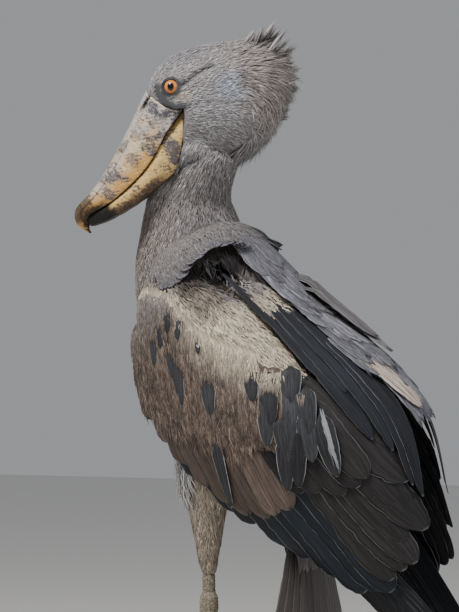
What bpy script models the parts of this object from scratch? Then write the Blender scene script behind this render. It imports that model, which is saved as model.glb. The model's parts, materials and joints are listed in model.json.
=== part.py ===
"""A standing shoebill at life size, in metres: +Z up, bill towards -X, its left side towards -Y.

The body is one loft from the root of the tail to the top of the neck, cut into torso and neck.
The neck turns, so that the head and bill look out to the bird's left. Each wing is worked out on
a chart, a smooth sleeve round the folded wings, so that tiers of feathers lie over one another.
"""

import math
import random

import bmesh
import bpy
from mathutils import Matrix, Vector

GAP = 0.0003
SLIVER = 0.0002
HEAD_TURN = math.radians(28)
HEAD_NOD = math.radians(18)
HEAD_CENTRE = Vector((-0.009, 0.0, 1.0545))

# Spine of the body, from the root of the tail to the top of the neck:
# x, z, half depth to the breast, half depth to the back, half width, turn in degrees.
BODY = (
    (0.158, 0.405, 0.030, 0.022, 0.034, 0),
    (0.143, 0.455, 0.062, 0.040, 0.058, 0),
    (0.112, 0.520, 0.098, 0.078, 0.092, 0),
    (0.072, 0.580, 0.125, 0.104, 0.116, 0),
    (0.035, 0.640, 0.139, 0.116, 0.129, 0),
    (0.000, 0.700, 0.140, 0.118, 0.131, 0),
    (-0.030, 0.755, 0.126, 0.106, 0.121, 0),
    (-0.047, 0.800, 0.106, 0.093, 0.101, 3),
    (-0.052, 0.840, 0.090, 0.083, 0.082, 9),
    (-0.053, 0.872, 0.078, 0.076, 0.069, 15),
    (-0.050, 0.906, 0.067, 0.071, 0.062, 21),
    (-0.033, 0.944, 0.056, 0.077, 0.061, 26),
    (-0.010, 0.985, 0.050, 0.086, 0.057, 28),
)
NECK_FROM = 7.0
BODY_SIDES = 22
TAIL_ROOT = 0.0

# Head sections along its own axis: forward, centre height, half height, half width.
HEAD = (
    (0.100, -0.026, 0.058, 0.044),
    (0.086, -0.014, 0.075, 0.050),
    (0.070, -0.005, 0.082, 0.054),
    (0.048, 0.003, 0.085, 0.059),
    (0.018, 0.000, 0.091, 0.065),
    (-0.014, -0.002, 0.092, 0.067),
    (-0.044, -0.003, 0.086, 0.062),
    (-0.074, 0.000, 0.070, 0.051),
    (-0.096, 0.004, 0.050, 0.037),
    (-0.110, 0.006, 0.028, 0.021),
    (-0.116, 0.007, 0.010, 0.008),
)
HEAD_SIDES = 20
EYE_AT = (0.0578, 0.0375)
EYE_OUT = 0.0425
EYE_RADIUS = 0.0145
EYE_LOOK = Vector((0.306, 0.209, 0.928))
LID_RADIUS = 0.0126
LID_THICK = 0.0027

# Bill in the plane of the head: ridge point, mouth point, half width, as (forward, height) pairs.
UPPER_BILL = (
    ((0.065, 0.060), (0.028, 0.016), 0.0450),
    ((0.0905, 0.0530), (0.042, 0.002), 0.0475),
    ((0.1060, 0.0390), (0.054, -0.012), 0.0490),
    ((0.138, 0.004), (0.082, -0.036), 0.0505),
    ((0.175, -0.033), (0.119, -0.067), 0.0500),
    ((0.209, -0.063), (0.166, -0.095), 0.0450),
    ((0.234, -0.080), (0.206, -0.110), 0.0365),
    ((0.253, -0.090), (0.232, -0.114), 0.0270),
    ((0.263, -0.100), (0.240, -0.120), 0.0180),
    ((0.2655, -0.114), (0.2455, -0.1235), 0.0105),
    ((0.262, -0.1235), (0.2475, -0.1275), 0.0060),
    ((0.2555, -0.132), (0.2485, -0.1325), 0.0034),
    ((0.2487, -0.1384), (0.2470, -0.1374), 0.0010),
)
LOWER_BILL = (
    ((0.036, 0.016), (0.088, -0.084), 0.0440),
    ((0.060, -0.001), (0.096, -0.090), 0.0455),
    ((0.094, -0.022), (0.113, -0.097), 0.0465),
    ((0.130, -0.056), (0.140, -0.108), 0.0460),
    ((0.168, -0.082), (0.170, -0.118), 0.0440),
    ((0.200, -0.096), (0.200, -0.125), 0.0380),
    ((0.224, -0.101), (0.225, -0.1285), 0.0290),
    ((0.243, -0.104), (0.2445, -0.1275), 0.0170),
    ((0.2535, -0.110), (0.2535, -0.1200), 0.0070),
)
BILL_SIDES = 16
# The line of the mouth, from inside the face to the inside of the hook.
MOUTH = (
    (0.030, 0.022),
    (0.051, 0.000),
    (0.086, -0.026),
    (0.1215, -0.0600),
    (0.143, -0.0755),
    (0.169, -0.0890),
    (0.198, -0.1013),
    (0.221, -0.1072),
    (0.2400, -0.1105),
    (0.2465, -0.1160),
    (0.2465, -0.1250),
    (0.2400, -0.1450),
)
# Where the feathers of the face end and the horn begins, from the ridge down to the throat.
FACE_EDGE = (
    (0.1020, 0.080),
    (0.0985, 0.0530),
    (0.0955, 0.0370),
    (0.0864, 0.0233),
    (0.0766, 0.0120),
    (0.0640, 0.0020),
    (0.0511, 0.0000),
    (0.0533, -0.0122),
    (0.0625, -0.0334),
    (0.0727, -0.0602),
    (0.0880, -0.0823),
    (0.0961, -0.0906),
    (0.0980, -0.1200),
)
# Crest locks in the head's middle plane: root, then tip. Other locks stand beside these.
CREST = (
    ((-0.052, 0.068), (-0.086, 0.085)),
    ((-0.066, 0.065), (-0.110, 0.086)),
    ((-0.076, 0.060), (-0.126, 0.087)),
    ((-0.084, 0.053), (-0.140, 0.085)),
    ((-0.090, 0.044), (-0.150, 0.068)),
    ((-0.096, 0.034), (-0.154, 0.047)),
    ((-0.100, 0.024), (-0.154, 0.023)),
    ((-0.102, 0.012), (-0.144, 0.003)),
    ((-0.100, -0.002), (-0.142, -0.012)),
    ((-0.095, -0.015), (-0.127, -0.026)),
    ((-0.087, -0.029), (-0.115, -0.045)),
    ((-0.077, -0.041), (-0.101, -0.064)),
)
CREST_SIDES = (0.0, 0.016, -0.016)
LOCK_WIDTH = 0.0125
LOCK_THICK = 0.0060
NOSTRIL_AT = (0.1065, 0.0265)
NOSTRIL_SIZE = (0.0125, 0.0022, 0.012)

# The sleeve round the folded wings: distance along, centre height over the axis,
# reach to the back, reach to the belly, half width.
SLEEVE_ORIGIN = Vector((-0.09, 0.0, 0.72))
SLEEVE_DOWN = math.radians(45)
SLEEVE = (
    (-0.060, 0.060, 0.085, 0.16, 0.070),
    (-0.020, 0.055, 0.126, 0.20, 0.125),
    (0.030, 0.050, 0.138, 0.24, 0.150),
    (0.090, 0.048, 0.140, 0.25, 0.160),
    (0.160, 0.046, 0.145, 0.25, 0.164),
    (0.240, 0.044, 0.158, 0.24, 0.160),
    (0.330, 0.040, 0.172, 0.21, 0.146),
    (0.420, 0.034, 0.168, 0.16, 0.124),
    (0.520, 0.026, 0.118, 0.13, 0.098),
    (0.620, 0.016, 0.072, 0.10, 0.074),
    (0.740, 0.004, 0.030, 0.07, 0.048),
)

# Feathers: share of the length and of the full width, thickness and arch of a vane.
VANE_SHAPE = ((0.0, 0.60), (0.16, 0.92), (0.52, 1.0), (0.87, 0.84), (1.0, 0.34))
COVERT_SHAPE = ((0.0, 0.66), (0.28, 1.0), (0.80, 0.90), (1.0, 0.36))
VANE_THICK = 0.0010
VANE_CAMBER = 0.0006
TIER_JITTER = 0.004

# Core of a wing: distance along, top and bottom height, inner and outer reach.
WING_CORE = (
    (-0.008, 0.056, 0.020, -0.036, -0.014),
    (0.018, 0.108, 0.002, -0.046, -0.004),
    (0.055, 0.146, -0.024, -0.046, -0.001),
    (0.105, 0.152, -0.044, -0.042, -0.001),
    (0.160, 0.154, -0.058, -0.036, -0.002),
    (0.220, 0.156, -0.060, -0.030, -0.004),
    (0.280, 0.153, -0.048, -0.024, -0.007),
    (0.335, 0.146, -0.030, -0.020, -0.010),
    (0.385, 0.128, 0.010, -0.017, -0.012),
)
# How far each column of the core stands out, from its top edge to its bottom edge.
WING_SWELL = (-0.008, 0.004, 0.007, 0.004, 0.000, -0.002, -0.010)
# Tiers of a wing: columns, width, roll, depth of the root, and each feather's root, tip and reach.
WING_TIERS = {
    "primaries": (
        2, 0.038, 0.0, -0.018,
        (
            ((0.300, 0.028), (0.742, 0.007), -0.0150),
            ((0.300, 0.013), (0.718, -0.008), -0.0133),
            ((0.298, -0.002), (0.680, -0.020), -0.0116),
            ((0.288, -0.016), (0.632, -0.032), -0.0099),
        ),
    ),
    "secondaries": (
        2, 0.046, 0.085, -0.013,
        (
            ((0.120, -0.038), (0.272, -0.086), -0.0045),
            ((0.158, -0.032), (0.346, -0.078), -0.0045),
            ((0.195, -0.022), (0.414, -0.064), -0.0045),
            ((0.232, -0.008), (0.474, -0.052), -0.0045),
            ((0.265, 0.008), (0.530, -0.040), -0.0045),
            ((0.292, 0.028), (0.580, -0.024), -0.0045),
            ((0.312, 0.052), (0.612, 0.000), -0.0045),
        ),
    ),
    "tertials": (
        3, 0.054, 0.065, -0.011,
        (
            ((0.302, 0.082), (0.592, 0.034), -0.0025),
            ((0.282, 0.108), (0.596, 0.068), -0.0032),
            ((0.252, 0.130), (0.556, 0.112), -0.0040),
            ((0.216, 0.144), (0.506, 0.156), -0.0050),
        ),
    ),
    "greater_coverts": (
        3, 0.041, 0.075, -0.007,
        (
            ((0.062, -0.014), (0.160, -0.064), 0.0030),
            ((0.106, -0.022), (0.222, -0.076), 0.0030),
            ((0.146, -0.016), (0.277, -0.076), 0.0030),
            ((0.184, 0.004), (0.322, -0.067), 0.0030),
            ((0.220, 0.028), (0.362, -0.050), 0.0028),
            ((0.255, 0.053), (0.400, -0.026), 0.0026),
            ((0.286, 0.078), (0.434, 0.004), 0.0024),
            ((0.308, 0.104), (0.462, 0.040), 0.0024),
        ),
    ),
    "median_coverts": (
        2, 0.044, 0.070, -0.003,
        (
            ((0.032, 0.024), (0.104, -0.034), 0.0088),
            ((0.074, 0.020), (0.156, -0.036), 0.0094),
            ((0.116, 0.030), (0.204, -0.024), 0.0094),
            ((0.154, 0.053), (0.242, -0.002), 0.0090),
            ((0.192, 0.080), (0.280, 0.028), 0.0084),
            ((0.228, 0.107), (0.316, 0.060), 0.0080),
        ),
    ),
}

# Core of the mantle: distance along, half spread in degrees, inner and outer reach.
MANTLE_CORE = (
    (-0.040, 54, -0.034, -0.006),
    (-0.018, 68, -0.038, -0.001),
    (0.006, 71, -0.038, 0.000),
    (0.028, 48, -0.044, 0.000),
    (0.060, 39, -0.048, -0.001),
    (0.140, 36, -0.048, -0.002),
    (0.220, 34, -0.042, -0.003),
    (0.300, 31, -0.026, -0.005),
    (0.365, 26, -0.016, -0.007),
)
MANTLE_ARM = 0.0026
MANTLE_REACH = 0.079
# Scapulars and cape: start, end, width, reach and lift at the tip, then the angles from the midline.
SCAPULARS = (
    ((-0.034, 0.036, 0.062, 0.003, 0.011), (12.0, 37.0, 64.0)),
    ((0.026, 0.160, 0.054, 0.003, 0.006), (11.0, 33.0)),
    ((0.120, 0.265, 0.050, 0.003, 0.006), (0.0, 20.5, 41.0)),
    ((0.200, 0.350, 0.048, 0.002, 0.007), (10.0, 29.5)),
    ((0.268, 0.424, 0.044, 0.000, 0.012), (0.0, 18.5)),
)

# Legs: hip, hock and foot of the left leg and the right, which stands a stride behind.
LEGS = {
    "left": {
        "path": ((0.010, -0.058, 0.555), (0.009, -0.058, 0.44), (0.012, -0.058, 0.27), (-0.004, -0.058, 0.0)),
        "ahead": Vector((-1.0, -0.10, 0.0)),
    },
    "right": {
        "path": ((0.060, 0.058, 0.555), (0.100, 0.058, 0.44), (0.136, 0.058, 0.27), (0.112, 0.058, 0.0)),
        "ahead": Vector((-1.0, 0.10, 0.0)),
    },
}
THIGH = ((0.0, 0.046, 0.052), (0.25, 0.043, 0.049), (0.5, 0.035, 0.039), (0.75, 0.025, 0.026), (1.0, 0.0145, 0.0145))
THIGH_END = 0.318
SHIN_RADIUS = 0.0105
HOCK_RADIUS = 0.0155
TOES = {
    "middle": (0.150, 0.0, 0.0100),
    "inner": (0.120, 24.0, 0.0092),
    "outer": (0.126, -27.0, 0.0092),
    "hind": (0.072, 170.0, 0.0085),
}
TOE_HEIGHT = 0.0085
CLAW_LENGTH = 0.019

TAIL_FEATHERS = 12
TAIL_WIDTH = 0.034
TAIL_LENGTH = 0.245
TAIL_SPREAD = math.radians(24)
TAIL_DROP = math.radians(84)

COLOURS = {
    "plumage": ((0.33, 0.31, 0.30), 0.85),
    "wing_plumage": ((0.24, 0.20, 0.18), 0.85),
    "mantle_plumage": ((0.36, 0.37, 0.41), 0.8),
    "tail_plumage": ((0.13, 0.12, 0.12), 0.8),
    "thigh_plumage": ((0.36, 0.32, 0.25), 0.9),
    "bill_horn": ((0.62, 0.47, 0.28), 0.35),
    "leg_skin": ((0.27, 0.23, 0.19), 0.6),
    "claw_horn": ((0.06, 0.055, 0.05), 0.35),
    "eye": ((0.80, 0.38, 0.10), 0.1),
}


def clear_scene():
    for obj in list(bpy.data.objects):
        bpy.data.objects.remove(obj)


def track(rows, k):
    """Smooth values at position k along rows of numbers, through each row at a whole k."""
    last = len(rows) - 1
    i = max(0, min(last - 1, int(math.floor(k))))
    t = k - i
    before, here = rows[max(i - 1, 0)], rows[i]
    there, after = rows[i + 1], rows[min(i + 2, last)]
    found = []
    for a, b, c, d in zip(before, here, there, after):
        found.append(b + 0.5 * t * (c - a + t * (2 * a - 5 * b + 4 * c - d + t * (3 * (b - c) + d - a))))
    return found


def at_key(rows, key):
    """The row of smooth values whose first number is key."""
    low = 0
    while low < len(rows) - 2 and rows[low + 1][0] < key:
        low += 1
    a, b = rows[low][0], rows[low + 1][0]
    return track(rows, low + min(1.0, max(0.0, (key - a) / (b - a))))


def material(name):
    found = bpy.data.materials.get(name)
    if found:
        return found
    made = bpy.data.materials.new(name)
    made.use_nodes = True
    shader = made.node_tree.nodes["Principled BSDF"]
    colour, roughness = COLOURS[name]
    shader.inputs["Base Color"].default_value = (*colour, 1.0)
    shader.inputs["Roughness"].default_value = roughness
    shader.inputs["Metallic"].default_value = 0.0
    return made


def add_object(name, bm, finish=None, smooth=True):
    bmesh.ops.triangulate(bm, faces=bm.faces, quad_method="SHORT_EDGE")
    bmesh.ops.recalc_face_normals(bm, faces=bm.faces)
    mesh = bpy.data.meshes.new(name)
    bm.to_mesh(mesh)
    bm.free()
    if smooth:
        mesh.shade_smooth()
    obj = bpy.data.objects.new(name, mesh)
    bpy.context.scene.collection.objects.link(obj)
    if finish:
        mesh.materials.append(material(finish))
    return obj


def loft(name, rings, finish=None, smooth=True):
    """A closed skin over rings of points, with a flat cap at each end."""
    bm = bmesh.new()
    loops = [[bm.verts.new(point) for point in ring] for ring in rings]
    for near, far in zip(loops, loops[1:]):
        for i, corner in enumerate(near):
            j = (i + 1) % len(near)
            bm.faces.new((corner, near[j], far[j], far[i]))
    bm.faces.new(loops[0][::-1])
    bm.faces.new(loops[-1])
    return add_object(name, bm, finish, smooth)


def apply_modifiers(obj):
    graph = bpy.context.evaluated_depsgraph_get()
    made = bpy.data.meshes.new_from_object(obj.evaluated_get(graph))
    obj.modifiers.clear()
    obj.data = made
    return obj


def keep_largest(obj):
    """Leaves the largest closed surface of the object and drops loose scraps and sealed hollows."""
    bm = bmesh.new()
    bm.from_mesh(obj.data)
    unseen, groups = set(bm.verts), []
    while unseen:
        group, edge = set(), [unseen.pop()]
        while edge:
            vert = edge.pop()
            group.add(vert)
            for link in vert.link_edges:
                other = link.other_vert(vert)
                if other in unseen:
                    unseen.discard(other)
                    edge.append(other)
        groups.append(group)
    groups.sort(key=len)
    for group in groups[:-1]:
        bmesh.ops.delete(bm, geom=list(group), context="VERTS")
    bm.to_mesh(obj.data)
    bm.free()
    return obj


def slim(obj):
    """Merges the slivers and the flat scraps that the joins left, wherever the solid stays closed."""
    for near, flat in ((SLIVER, 1.0), (0.0, 1.0), (SLIVER, 0.3), (0.0, 0.3)):
        bm = bmesh.new()
        bm.from_mesh(obj.data)
        bmesh.ops.remove_doubles(bm, verts=bm.verts, dist=near)
        bmesh.ops.dissolve_limit(bm, angle_limit=math.radians(flat), verts=bm.verts, edges=bm.edges)
        bmesh.ops.triangulate(bm, faces=bm.faces)
        closed = all(edge.is_manifold for edge in bm.edges)
        if closed:
            bm.to_mesh(obj.data)
        bm.free()
        if closed:
            break
    return obj


def combine(obj, others, operation="UNION", solver="EXACT"):
    """Joins, cuts or trims obj by a collection of other closed meshes, which are then removed."""
    bpy.context.view_layer.update()
    group = bpy.data.collections.new(obj.name + "_tools")
    bpy.context.scene.collection.children.link(group)
    for other in others:
        group.objects.link(other)
    boolean = obj.modifiers.new("combine", "BOOLEAN")
    boolean.operation = operation
    boolean.solver = solver
    boolean.operand_type = "COLLECTION"
    boolean.collection = group
    apply_modifiers(obj)
    for other in others:
        bpy.data.objects.remove(other)
    bpy.data.collections.remove(group)
    return keep_largest(obj)


def swollen(obj, by=GAP):
    """A copy of a node grown along its normals, which cuts a gap of that width into a neighbour."""
    bm = bmesh.new()
    bm.from_mesh(obj.data)
    bm.normal_update()
    moves = [(vert, vert.normal * by * 1.1 * min(3.0, vert.calc_shell_factor())) for vert in bm.verts]
    for vert, move in moves:
        vert.co += move
    mesh = bpy.data.meshes.new(obj.name + "_swollen")
    bm.to_mesh(mesh)
    bm.free()
    copy = bpy.data.objects.new(obj.name + "_swollen", mesh)
    bpy.context.scene.collection.objects.link(copy)
    return copy


def rounded(angle, power):
    """A point on a squared-off circle of radius one."""
    c, s = math.cos(angle), math.sin(angle)
    return (
        math.copysign(abs(c) ** (2 / power), c),
        math.copysign(abs(s) ** (2 / power), s),
    )


def body_point(k, around):
    """A point of the body's surface: k along the spine, around from the back towards the left side."""
    x, z, front, back, width, turn = track(BODY, k)
    ahead, behind = track(BODY, k + 0.05), track(BODY, k - 0.05)
    along = Vector((ahead[0] - behind[0], 0.0, ahead[1] - behind[1])).normalized()
    turned = Matrix.Rotation(math.radians(turn), 3, along)
    side = turned @ Vector((0.0, -1.0, 0.0))
    dorsal = side.cross(along).normalized()
    deep, wide = rounded(around, 2.15)
    depth = back if deep > 0 else front
    return Vector((x, 0.0, z)) + dorsal * deep * depth + side * wide * width


def body_ring(k):
    return [body_point(k, 2 * math.pi * i / BODY_SIDES) for i in range(BODY_SIDES)]


def spine_step(k):
    a, b = track(BODY, k), track(BODY, k + 0.01)
    return math.hypot(b[0] - a[0], b[1] - a[1]) / 0.01


def torso_stations():
    return [TAIL_ROOT + i * (NECK_FROM - TAIL_ROOT) / 11 for i in range(12)]


def neck_stations():
    first = NECK_FROM + GAP / spine_step(NECK_FROM)
    last = len(BODY) - 1.0
    return [first + i * (last - first) / 7 for i in range(8)]


def body_cutter():
    """The whole body grown by the gap, to cut whatever lies against it."""
    whole = loft("body", [body_ring(k) for k in torso_stations() + neck_stations()])
    grown = swollen(whole)
    bpy.data.objects.remove(whole)
    return grown


def build_torso():
    return loft("torso", [body_ring(k) for k in torso_stations()], "plumage")


def build_neck():
    neck = loft("neck", [body_ring(k) for k in neck_stations()], "plumage")
    skull = loft("skull", [head_ring(row) for row in HEAD])
    jaw = loft("jaw", [lower_ring(row) for row in LOWER_BILL])
    combine(neck, [swollen(skull), swollen(jaw)], "DIFFERENCE")
    bpy.data.objects.remove(skull)
    bpy.data.objects.remove(jaw)
    return neck


def head_axes():
    out = Vector((math.cos(HEAD_TURN), math.sin(HEAD_TURN), 0.0))
    up = Vector((0.0, 0.0, 1.0))
    ahead = -out * math.cos(HEAD_NOD) - up * math.sin(HEAD_NOD)
    crown = -out * math.sin(HEAD_NOD) + up * math.cos(HEAD_NOD)
    left = Vector((math.sin(HEAD_TURN), -math.cos(HEAD_TURN), 0.0))
    return ahead, crown, left


def head_place(forward, height, left=0.0):
    ahead, crown, side = head_axes()
    return HEAD_CENTRE + ahead * forward + crown * height + side * left


def head_ring(row):
    forward, centre, half, width = row
    ring = []
    for i in range(HEAD_SIDES):
        high, wide = rounded(2 * math.pi * i / HEAD_SIDES, 2.25)
        ring.append(head_place(forward, centre + high * half, wide * width))
    return ring


def prism(name, outline, half_width=0.12):
    """A block whose side view in the plane of the head is the outline."""
    bm = bmesh.new()
    near = [bm.verts.new(head_place(f, g, half_width)) for f, g in outline]
    face = bm.faces.new(near)
    grown = bmesh.ops.extrude_face_region(bm, geom=[face])
    moved = [v for v in grown["geom"] if isinstance(v, bmesh.types.BMVert)]
    bmesh.ops.translate(bm, verts=moved, vec=head_axes()[2] * -2 * half_width)
    return add_object(name, bm, smooth=False)


def shifted(line, by):
    """The line moved sideways by that much, to its left seen along it."""
    moved = []
    for i, (f, g) in enumerate(line):
        before, after = line[max(i - 1, 0)], line[min(i + 1, len(line) - 1)]
        df, dg = after[0] - before[0], after[1] - before[1]
        size = math.hypot(df, dg)
        moved.append((f - dg / size * by, g + df / size * by))
    return moved


def cut_face(head):
    """Cuts the head back to the edge of its feathers, where the horn of the bill begins."""
    far = 0.4
    outline = [*shifted(FACE_EDGE, -GAP / 2), (far, FACE_EDGE[-1][1] - 0.1), (far, 0.3), (0.098, 0.3)]
    return combine(head, [prism("face_cutter", outline)], "DIFFERENCE")


def eye_centre(side):
    return head_place(*EYE_AT, EYE_OUT * side)


def ball(name, centre, radius, finish=None, segments=24, rings=14, stretch=None):
    bm = bmesh.new()
    bmesh.ops.create_uvsphere(bm, u_segments=segments, v_segments=rings, radius=radius)
    if stretch:
        bmesh.ops.transform(bm, matrix=stretch, verts=bm.verts)
    bmesh.ops.translate(bm, verts=bm.verts, vec=centre)
    return add_object(name, bm, finish)


def lid(side):
    """The ring of bare skin round one eye."""
    ahead, crown, left = head_axes()
    facing = ahead * EYE_LOOK.x + crown * EYE_LOOK.y + left * EYE_LOOK.z * side
    centre = eye_centre(side) + facing * 0.0082
    forward = (ahead - facing * ahead.dot(facing)).normalized()
    upward = forward.cross(facing)
    rings = []
    turns, thick = 14, 5
    for i in range(turns):
        a = 2 * math.pi * i / turns
        out = forward * math.cos(a) + upward * math.sin(a)
        ring = []
        for j in range(thick):
            b = 2 * math.pi * j / thick
            ring.append(
                centre
                + out * (LID_RADIUS + LID_THICK * math.cos(b))
                + facing * LID_THICK * 1.1 * math.sin(b)
            )
        rings.append(ring)
    bm = bmesh.new()
    loops = [[bm.verts.new(p) for p in ring] for ring in rings]
    for i, near in enumerate(loops):
        far = loops[(i + 1) % turns]
        for j in range(thick):
            k = (j + 1) % thick
            bm.faces.new((near[j], near[k], far[k], far[j]))
    return add_object("lid", bm)


def crest_locks():
    """Pointed locks of feathers that stand up and back from the crown and the nape."""
    rng = random.Random(7)
    locks = []
    for side in CREST_SIDES:
        near = 1.0 - 110.0 * side * side
        for root, tip in CREST:
            short = 1.0 - 7.0 * abs(side) + rng.uniform(-0.08, 0.08)
            start = head_place(root[0] * near, root[1] * near, side)
            end = head_place(
                root[0] + (tip[0] - root[0]) * short,
                root[1] + (tip[1] - root[1]) * short + rng.uniform(-0.004, 0.004),
                side * 1.5 + rng.uniform(-0.003, 0.003),
            )
            turn = Matrix.Rotation(rng.uniform(-1.1, 1.1), 3, (end - start).normalized())
            locks.append(lock(start, end, turn @ head_axes()[2]))
    return locks


def lock(start, end, across):
    """One lock: a lance of four sides that bends a little on the way."""
    along = (end - start).normalized()
    across = (across - along * across.dot(along)).normalized()
    over = across.cross(along)
    rings = []
    for share, wide in ((0.0, 0.8), (0.35, 1.0), (0.7, 0.62), (1.0, 0.06)):
        centre = start.lerp(end, share) + over * 0.10 * (end - start).length * math.sin(share * math.pi)
        half, thick = across * LOCK_WIDTH * 0.5 * wide, over * LOCK_THICK * 0.5 * wide
        rings.append([centre + half, centre + thick, centre - half])
    return loft("lock", rings)


def build_head():
    head = loft("head", [head_ring(row) for row in HEAD], "plumage")
    combine(head, [lid(1), lid(-1), *crest_locks()])
    cut_face(head)
    eyes = [ball("socket", eye_centre(s), EYE_RADIUS + 2 * GAP, None, 16, 10) for s in (1, -1)]
    return slim(combine(head, eyes, "DIFFERENCE"))


def build_eyes():
    for name, side in (("eye_left", 1), ("eye_right", -1)):
        ball(name, eye_centre(side), EYE_RADIUS, "eye", 14, 8)


def bill_ring(row, power_top, power_side):
    """A section of the bill between its ridge or keel and its mouth edge."""
    (f0, g0), (f1, g1), width = row
    ring = []
    for i in range(BILL_SIDES):
        a = 2 * math.pi * i / BILL_SIDES
        c, s = math.cos(a), math.sin(a)
        rise = math.copysign(abs(c) ** power_top, c) if c > 0 else -((-c) ** 0.6) * 0.22
        spread = math.copysign(abs(s) ** power_side, s)
        share = (rise + 0.22) / 1.22
        ring.append(head_place(f1 + (f0 - f1) * share, g1 + (g0 - g1) * share, spread * width))
    return ring


def build_bill():
    far = 0.4
    mouth_up, mouth_down = shifted(MOUTH, GAP), shifted(MOUTH, -GAP)
    face = shifted(FACE_EDGE, GAP / 2)
    gape = 6
    corner = (face[gape][0] + 1.5 * GAP, face[gape][1])
    upper_region = [corner, *face[:gape][::-1], (0.098, 0.3), (far, 0.3), (far, -0.2), (0.25, -0.2), *mouth_up[:1:-1]]
    corner = (face[gape][0] + GAP / 2, face[gape][1] - 1.5 * GAP)
    lower_region = [*mouth_down[:1:-1], corner, *face[gape + 1 :], (0.098, -0.3), (0.2470, -0.3)]
    upper = loft("bill_upper", [bill_ring(row, 0.85, 0.62) for row in UPPER_BILL], "bill_horn")
    combine(upper, [prism("upper_region", upper_region)], "INTERSECT")
    slits = []
    ahead, crown, left = head_axes()
    slope = ahead * 0.74 - crown * 0.67
    turn = Matrix((slope, left, slope.cross(left))).transposed().to_4x4()
    size = Matrix.Diagonal((NOSTRIL_SIZE[0], NOSTRIL_SIZE[2], NOSTRIL_SIZE[1], 1.0))
    for side in (1, -1):
        slits.append(ball("slit", head_place(*NOSTRIL_AT, 0.030 * side), 1.0, None, 8, 6, turn @ size))
    combine(upper, slits, "DIFFERENCE")
    lower = loft("bill_lower", [lower_ring(row) for row in LOWER_BILL], "bill_horn")
    return combine(lower, [prism("lower_region", lower_region)], "INTERSECT")


def lower_ring(row):
    (f0, g0), (f1, g1), width = row
    ring = []
    for i in range(BILL_SIDES):
        a = 2 * math.pi * i / BILL_SIDES
        c, s = math.cos(a), math.sin(a)
        drop = (1 - c) / 2
        share = drop**1.15
        spread = math.copysign(abs(s) ** 0.62, s)
        ring.append(head_place(f0 + (f1 - f0) * share, g0 + (g1 - g0) * share, spread * width))
    return ring


def sleeve_point(along, around, out, side):
    """A point of the wings' sleeve: around is 0 at the back's midline and rises down the side."""
    _, centre, back, belly, width = at_key(SLEEVE, along)
    c, s = math.cos(around), math.sin(around)
    reach = back if c > 0 else belly
    axis = Vector((math.cos(SLEEVE_DOWN), 0.0, -math.sin(SLEEVE_DOWN)))
    rise = Vector((math.sin(SLEEVE_DOWN), 0.0, math.cos(SLEEVE_DOWN)))
    lateral = Vector((0.0, -side, 0.0))
    return SLEEVE_ORIGIN + axis * along + rise * (centre + (reach + out) * c) + lateral * (width + out) * s


def around_at(along, height):
    """The angle round the sleeve at a height over its axis."""
    _, centre, back, belly, _ = at_key(SLEEVE, along)
    over = height - centre
    return math.acos(max(-1.0, min(1.0, over / (back if over > 0 else belly))))


def sheet(name, tops, bottoms, finish=None):
    """A closed shell between two like grids of points, both cut into triangles the same way."""
    bm = bmesh.new()
    upper = [[bm.verts.new(point) for point in row] for row in tops]
    lower = [[bm.verts.new(point) for point in row] for row in bottoms]
    rows, columns = len(upper), len(upper[0])
    for i in range(rows - 1):
        for j in range(columns - 1):
            for grid in (upper, lower):
                a, b, c, d = grid[i][j], grid[i][j + 1], grid[i + 1][j + 1], grid[i + 1][j]
                bm.faces.new((a, b, c))
                bm.faces.new((a, c, d))
    border = [(0, j) for j in range(columns)]
    border += [(i, columns - 1) for i in range(1, rows)]
    border += [(rows - 1, j) for j in range(columns - 2, -1, -1)]
    border += [(i, 0) for i in range(rows - 2, 0, -1)]
    for (i, j), (m, n) in zip(border, border[1:] + border[:1]):
        bm.faces.new((upper[i][j], upper[m][n], lower[m][n], lower[i][j]))
    return add_object(name, bm, finish)


def vane(place, root, tip, width, height, columns=3, roll=0.0, dive=-0.010, lift=0.0, shape=VANE_SHAPE):
    """One feather as a thin closed vane on a chart, its root sunk into the core."""
    root, tip = Vector(root), Vector(tip)
    along = tip - root
    across = Vector((-along.y, along.x)).normalized()
    tops, bottoms = [], []
    for share, wide in shape:
        centre = root + along * share
        half = 0.5 * width * wide
        level = dive + (height - dive) * min(1.0, share / shape[1][0]) + lift * share * share
        top, bottom = [], []
        for j in range(columns):
            at = 2.0 * j / (columns - 1) - 1.0
            point = centre + across * half * at
            out = level - roll * half * at + (VANE_CAMBER if columns > 2 else 0.0) * (1 - at * at)
            deep = VANE_THICK * (1.35 if columns > 2 and at == 0 else 1.0)
            top.append(place(point.x, point.y, out))
            bottom.append(place(point.x, point.y, out - deep))
        tops.append(top)
        bottoms.append(bottom)
    return sheet("vane", tops, bottoms)


def wing_place(side):
    """The chart of a wing: distance along the sleeve, height over its axis, reach outwards."""
    return lambda along, height, out: sleeve_point(along, around_at(along, height), out, side)


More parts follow.
